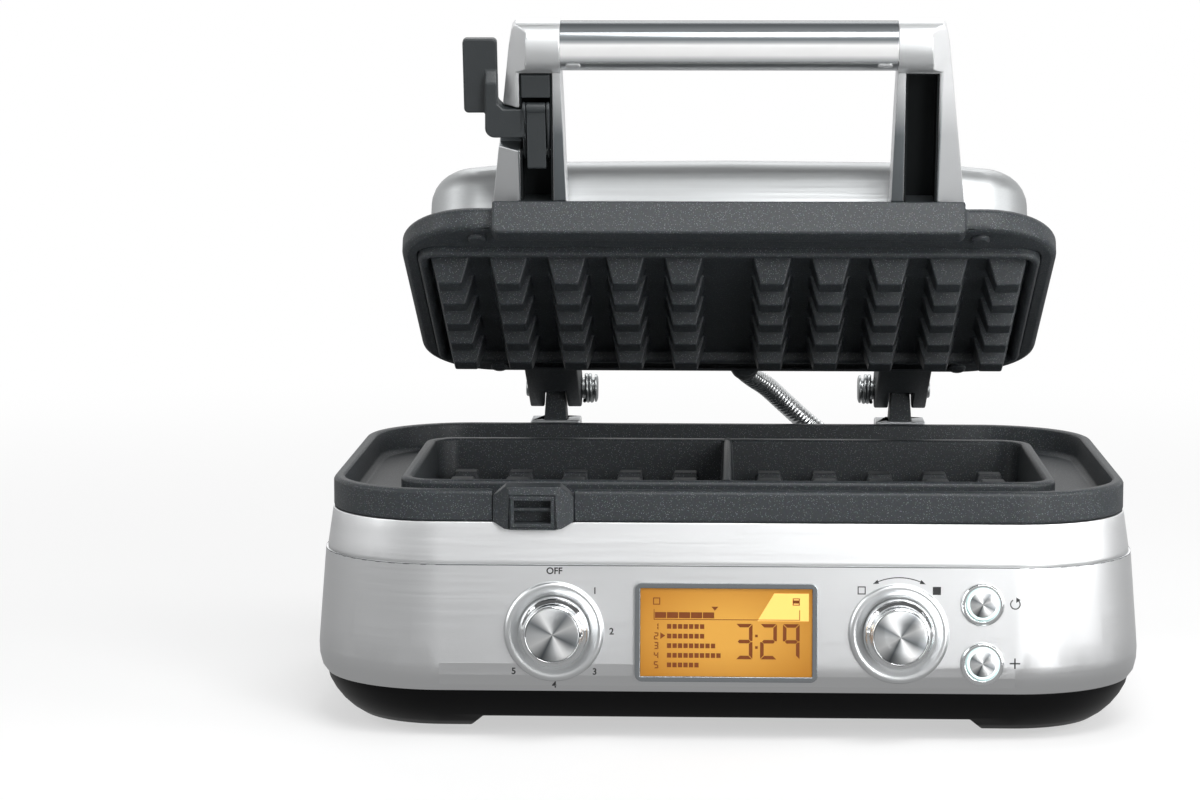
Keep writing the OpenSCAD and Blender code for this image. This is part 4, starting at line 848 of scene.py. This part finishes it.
# The way of its middle line, in millimetres, from the lid's gland to the base's;
# the lid's end is given for the shut lid and turned up with it.
lid_open, root_lean = 27, 45
hinge = Vector((0, pin_y, pin_z))
lean = Matrix.Rotation(math.radians(-lid_open), 3, "X")
mouth = hinge + lean @ (Vector((8, 76.3, 116.0)) - hinge)
run = lean @ Vector((0, 1, 0))
root = Vector((56, 124.0, 91.1))
rise = Vector((-math.sin(math.radians(root_lean)), 0, math.cos(math.radians(root_lean))))
route = [mouth, mouth + 3 * run, mouth + 7 * run]
route += [root + Vector(d) for d in ((-44, -31, 40.4), (-37, -21, 34.6), (-28, -11, 25.4), (-17.5, -3, 15.2))]
route += [root + 9.5 * rise, root + 3 * rise, root]
ring_step, ring_sides = 0.35, 28
line = []
for i in range(len(route) - 1):
    a, b, c, d = (route[max(i - 1, 0)], route[i], route[i + 1], route[min(i + 2, len(route) - 1)])
    count = max(4, int((c - b).length / ring_step))
    for k in range(count):
        t = k / count
        bend = (c - a) * t + (2 * a - 5 * b + 4 * c - d) * t * t + (3 * b - 3 * c + d - a) * t ** 3
        line.append(0.5 * (2 * b + bend))
line.append(route[-1])

# The wound strip: rounded ridges that climb round the tube, 2.3 mm apart.
core_r, ridge_high, ridge_pitch = 4.46, 0.52, 2.3
bm = bmesh.new()
rings, gone, last = [], 0.0, len(line) - 1
side = Vector((1, 0, 0))
for i, spot in enumerate(line):
    ahead = (line[min(i + 1, last)] - line[max(i - 1, 0)]).normalized()
    side = (side - ahead * side.dot(ahead)).normalized()
    up = ahead.cross(side)
    gone += (spot - line[max(i - 1, 0)]).length
    ring = []
    for k in range(ring_sides):
        a = 2 * math.pi * k / ring_sides
        r = core_r + ridge_high * abs(math.sin(math.pi * gone / ridge_pitch + a / 2)) ** 0.8
        ring.append(bm.verts.new((spot + r * (side * math.cos(a) + up * math.sin(a))) / 1000))
    rings.append(ring)
skin(bm, rings)
bm.faces.new(rings[0][::-1])
bm.faces.new(rings[-1])
bmesh.ops.recalc_face_normals(bm, faces=bm.faces)

# Bright steel strip, worn slightly dull in patches of 2.5 mm.
wound_steel, tree, shader = finish("wound_steel", "#DADCDD", 0.3, 1.0)
uneven(tree, shader, 0.4, 0.2, 0.34)
wound_tube = new_piece("wound_tube", mesh_from("wound_tube", bm, 180), wound_steel)
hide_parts("conduit")
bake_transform(wound_tube)
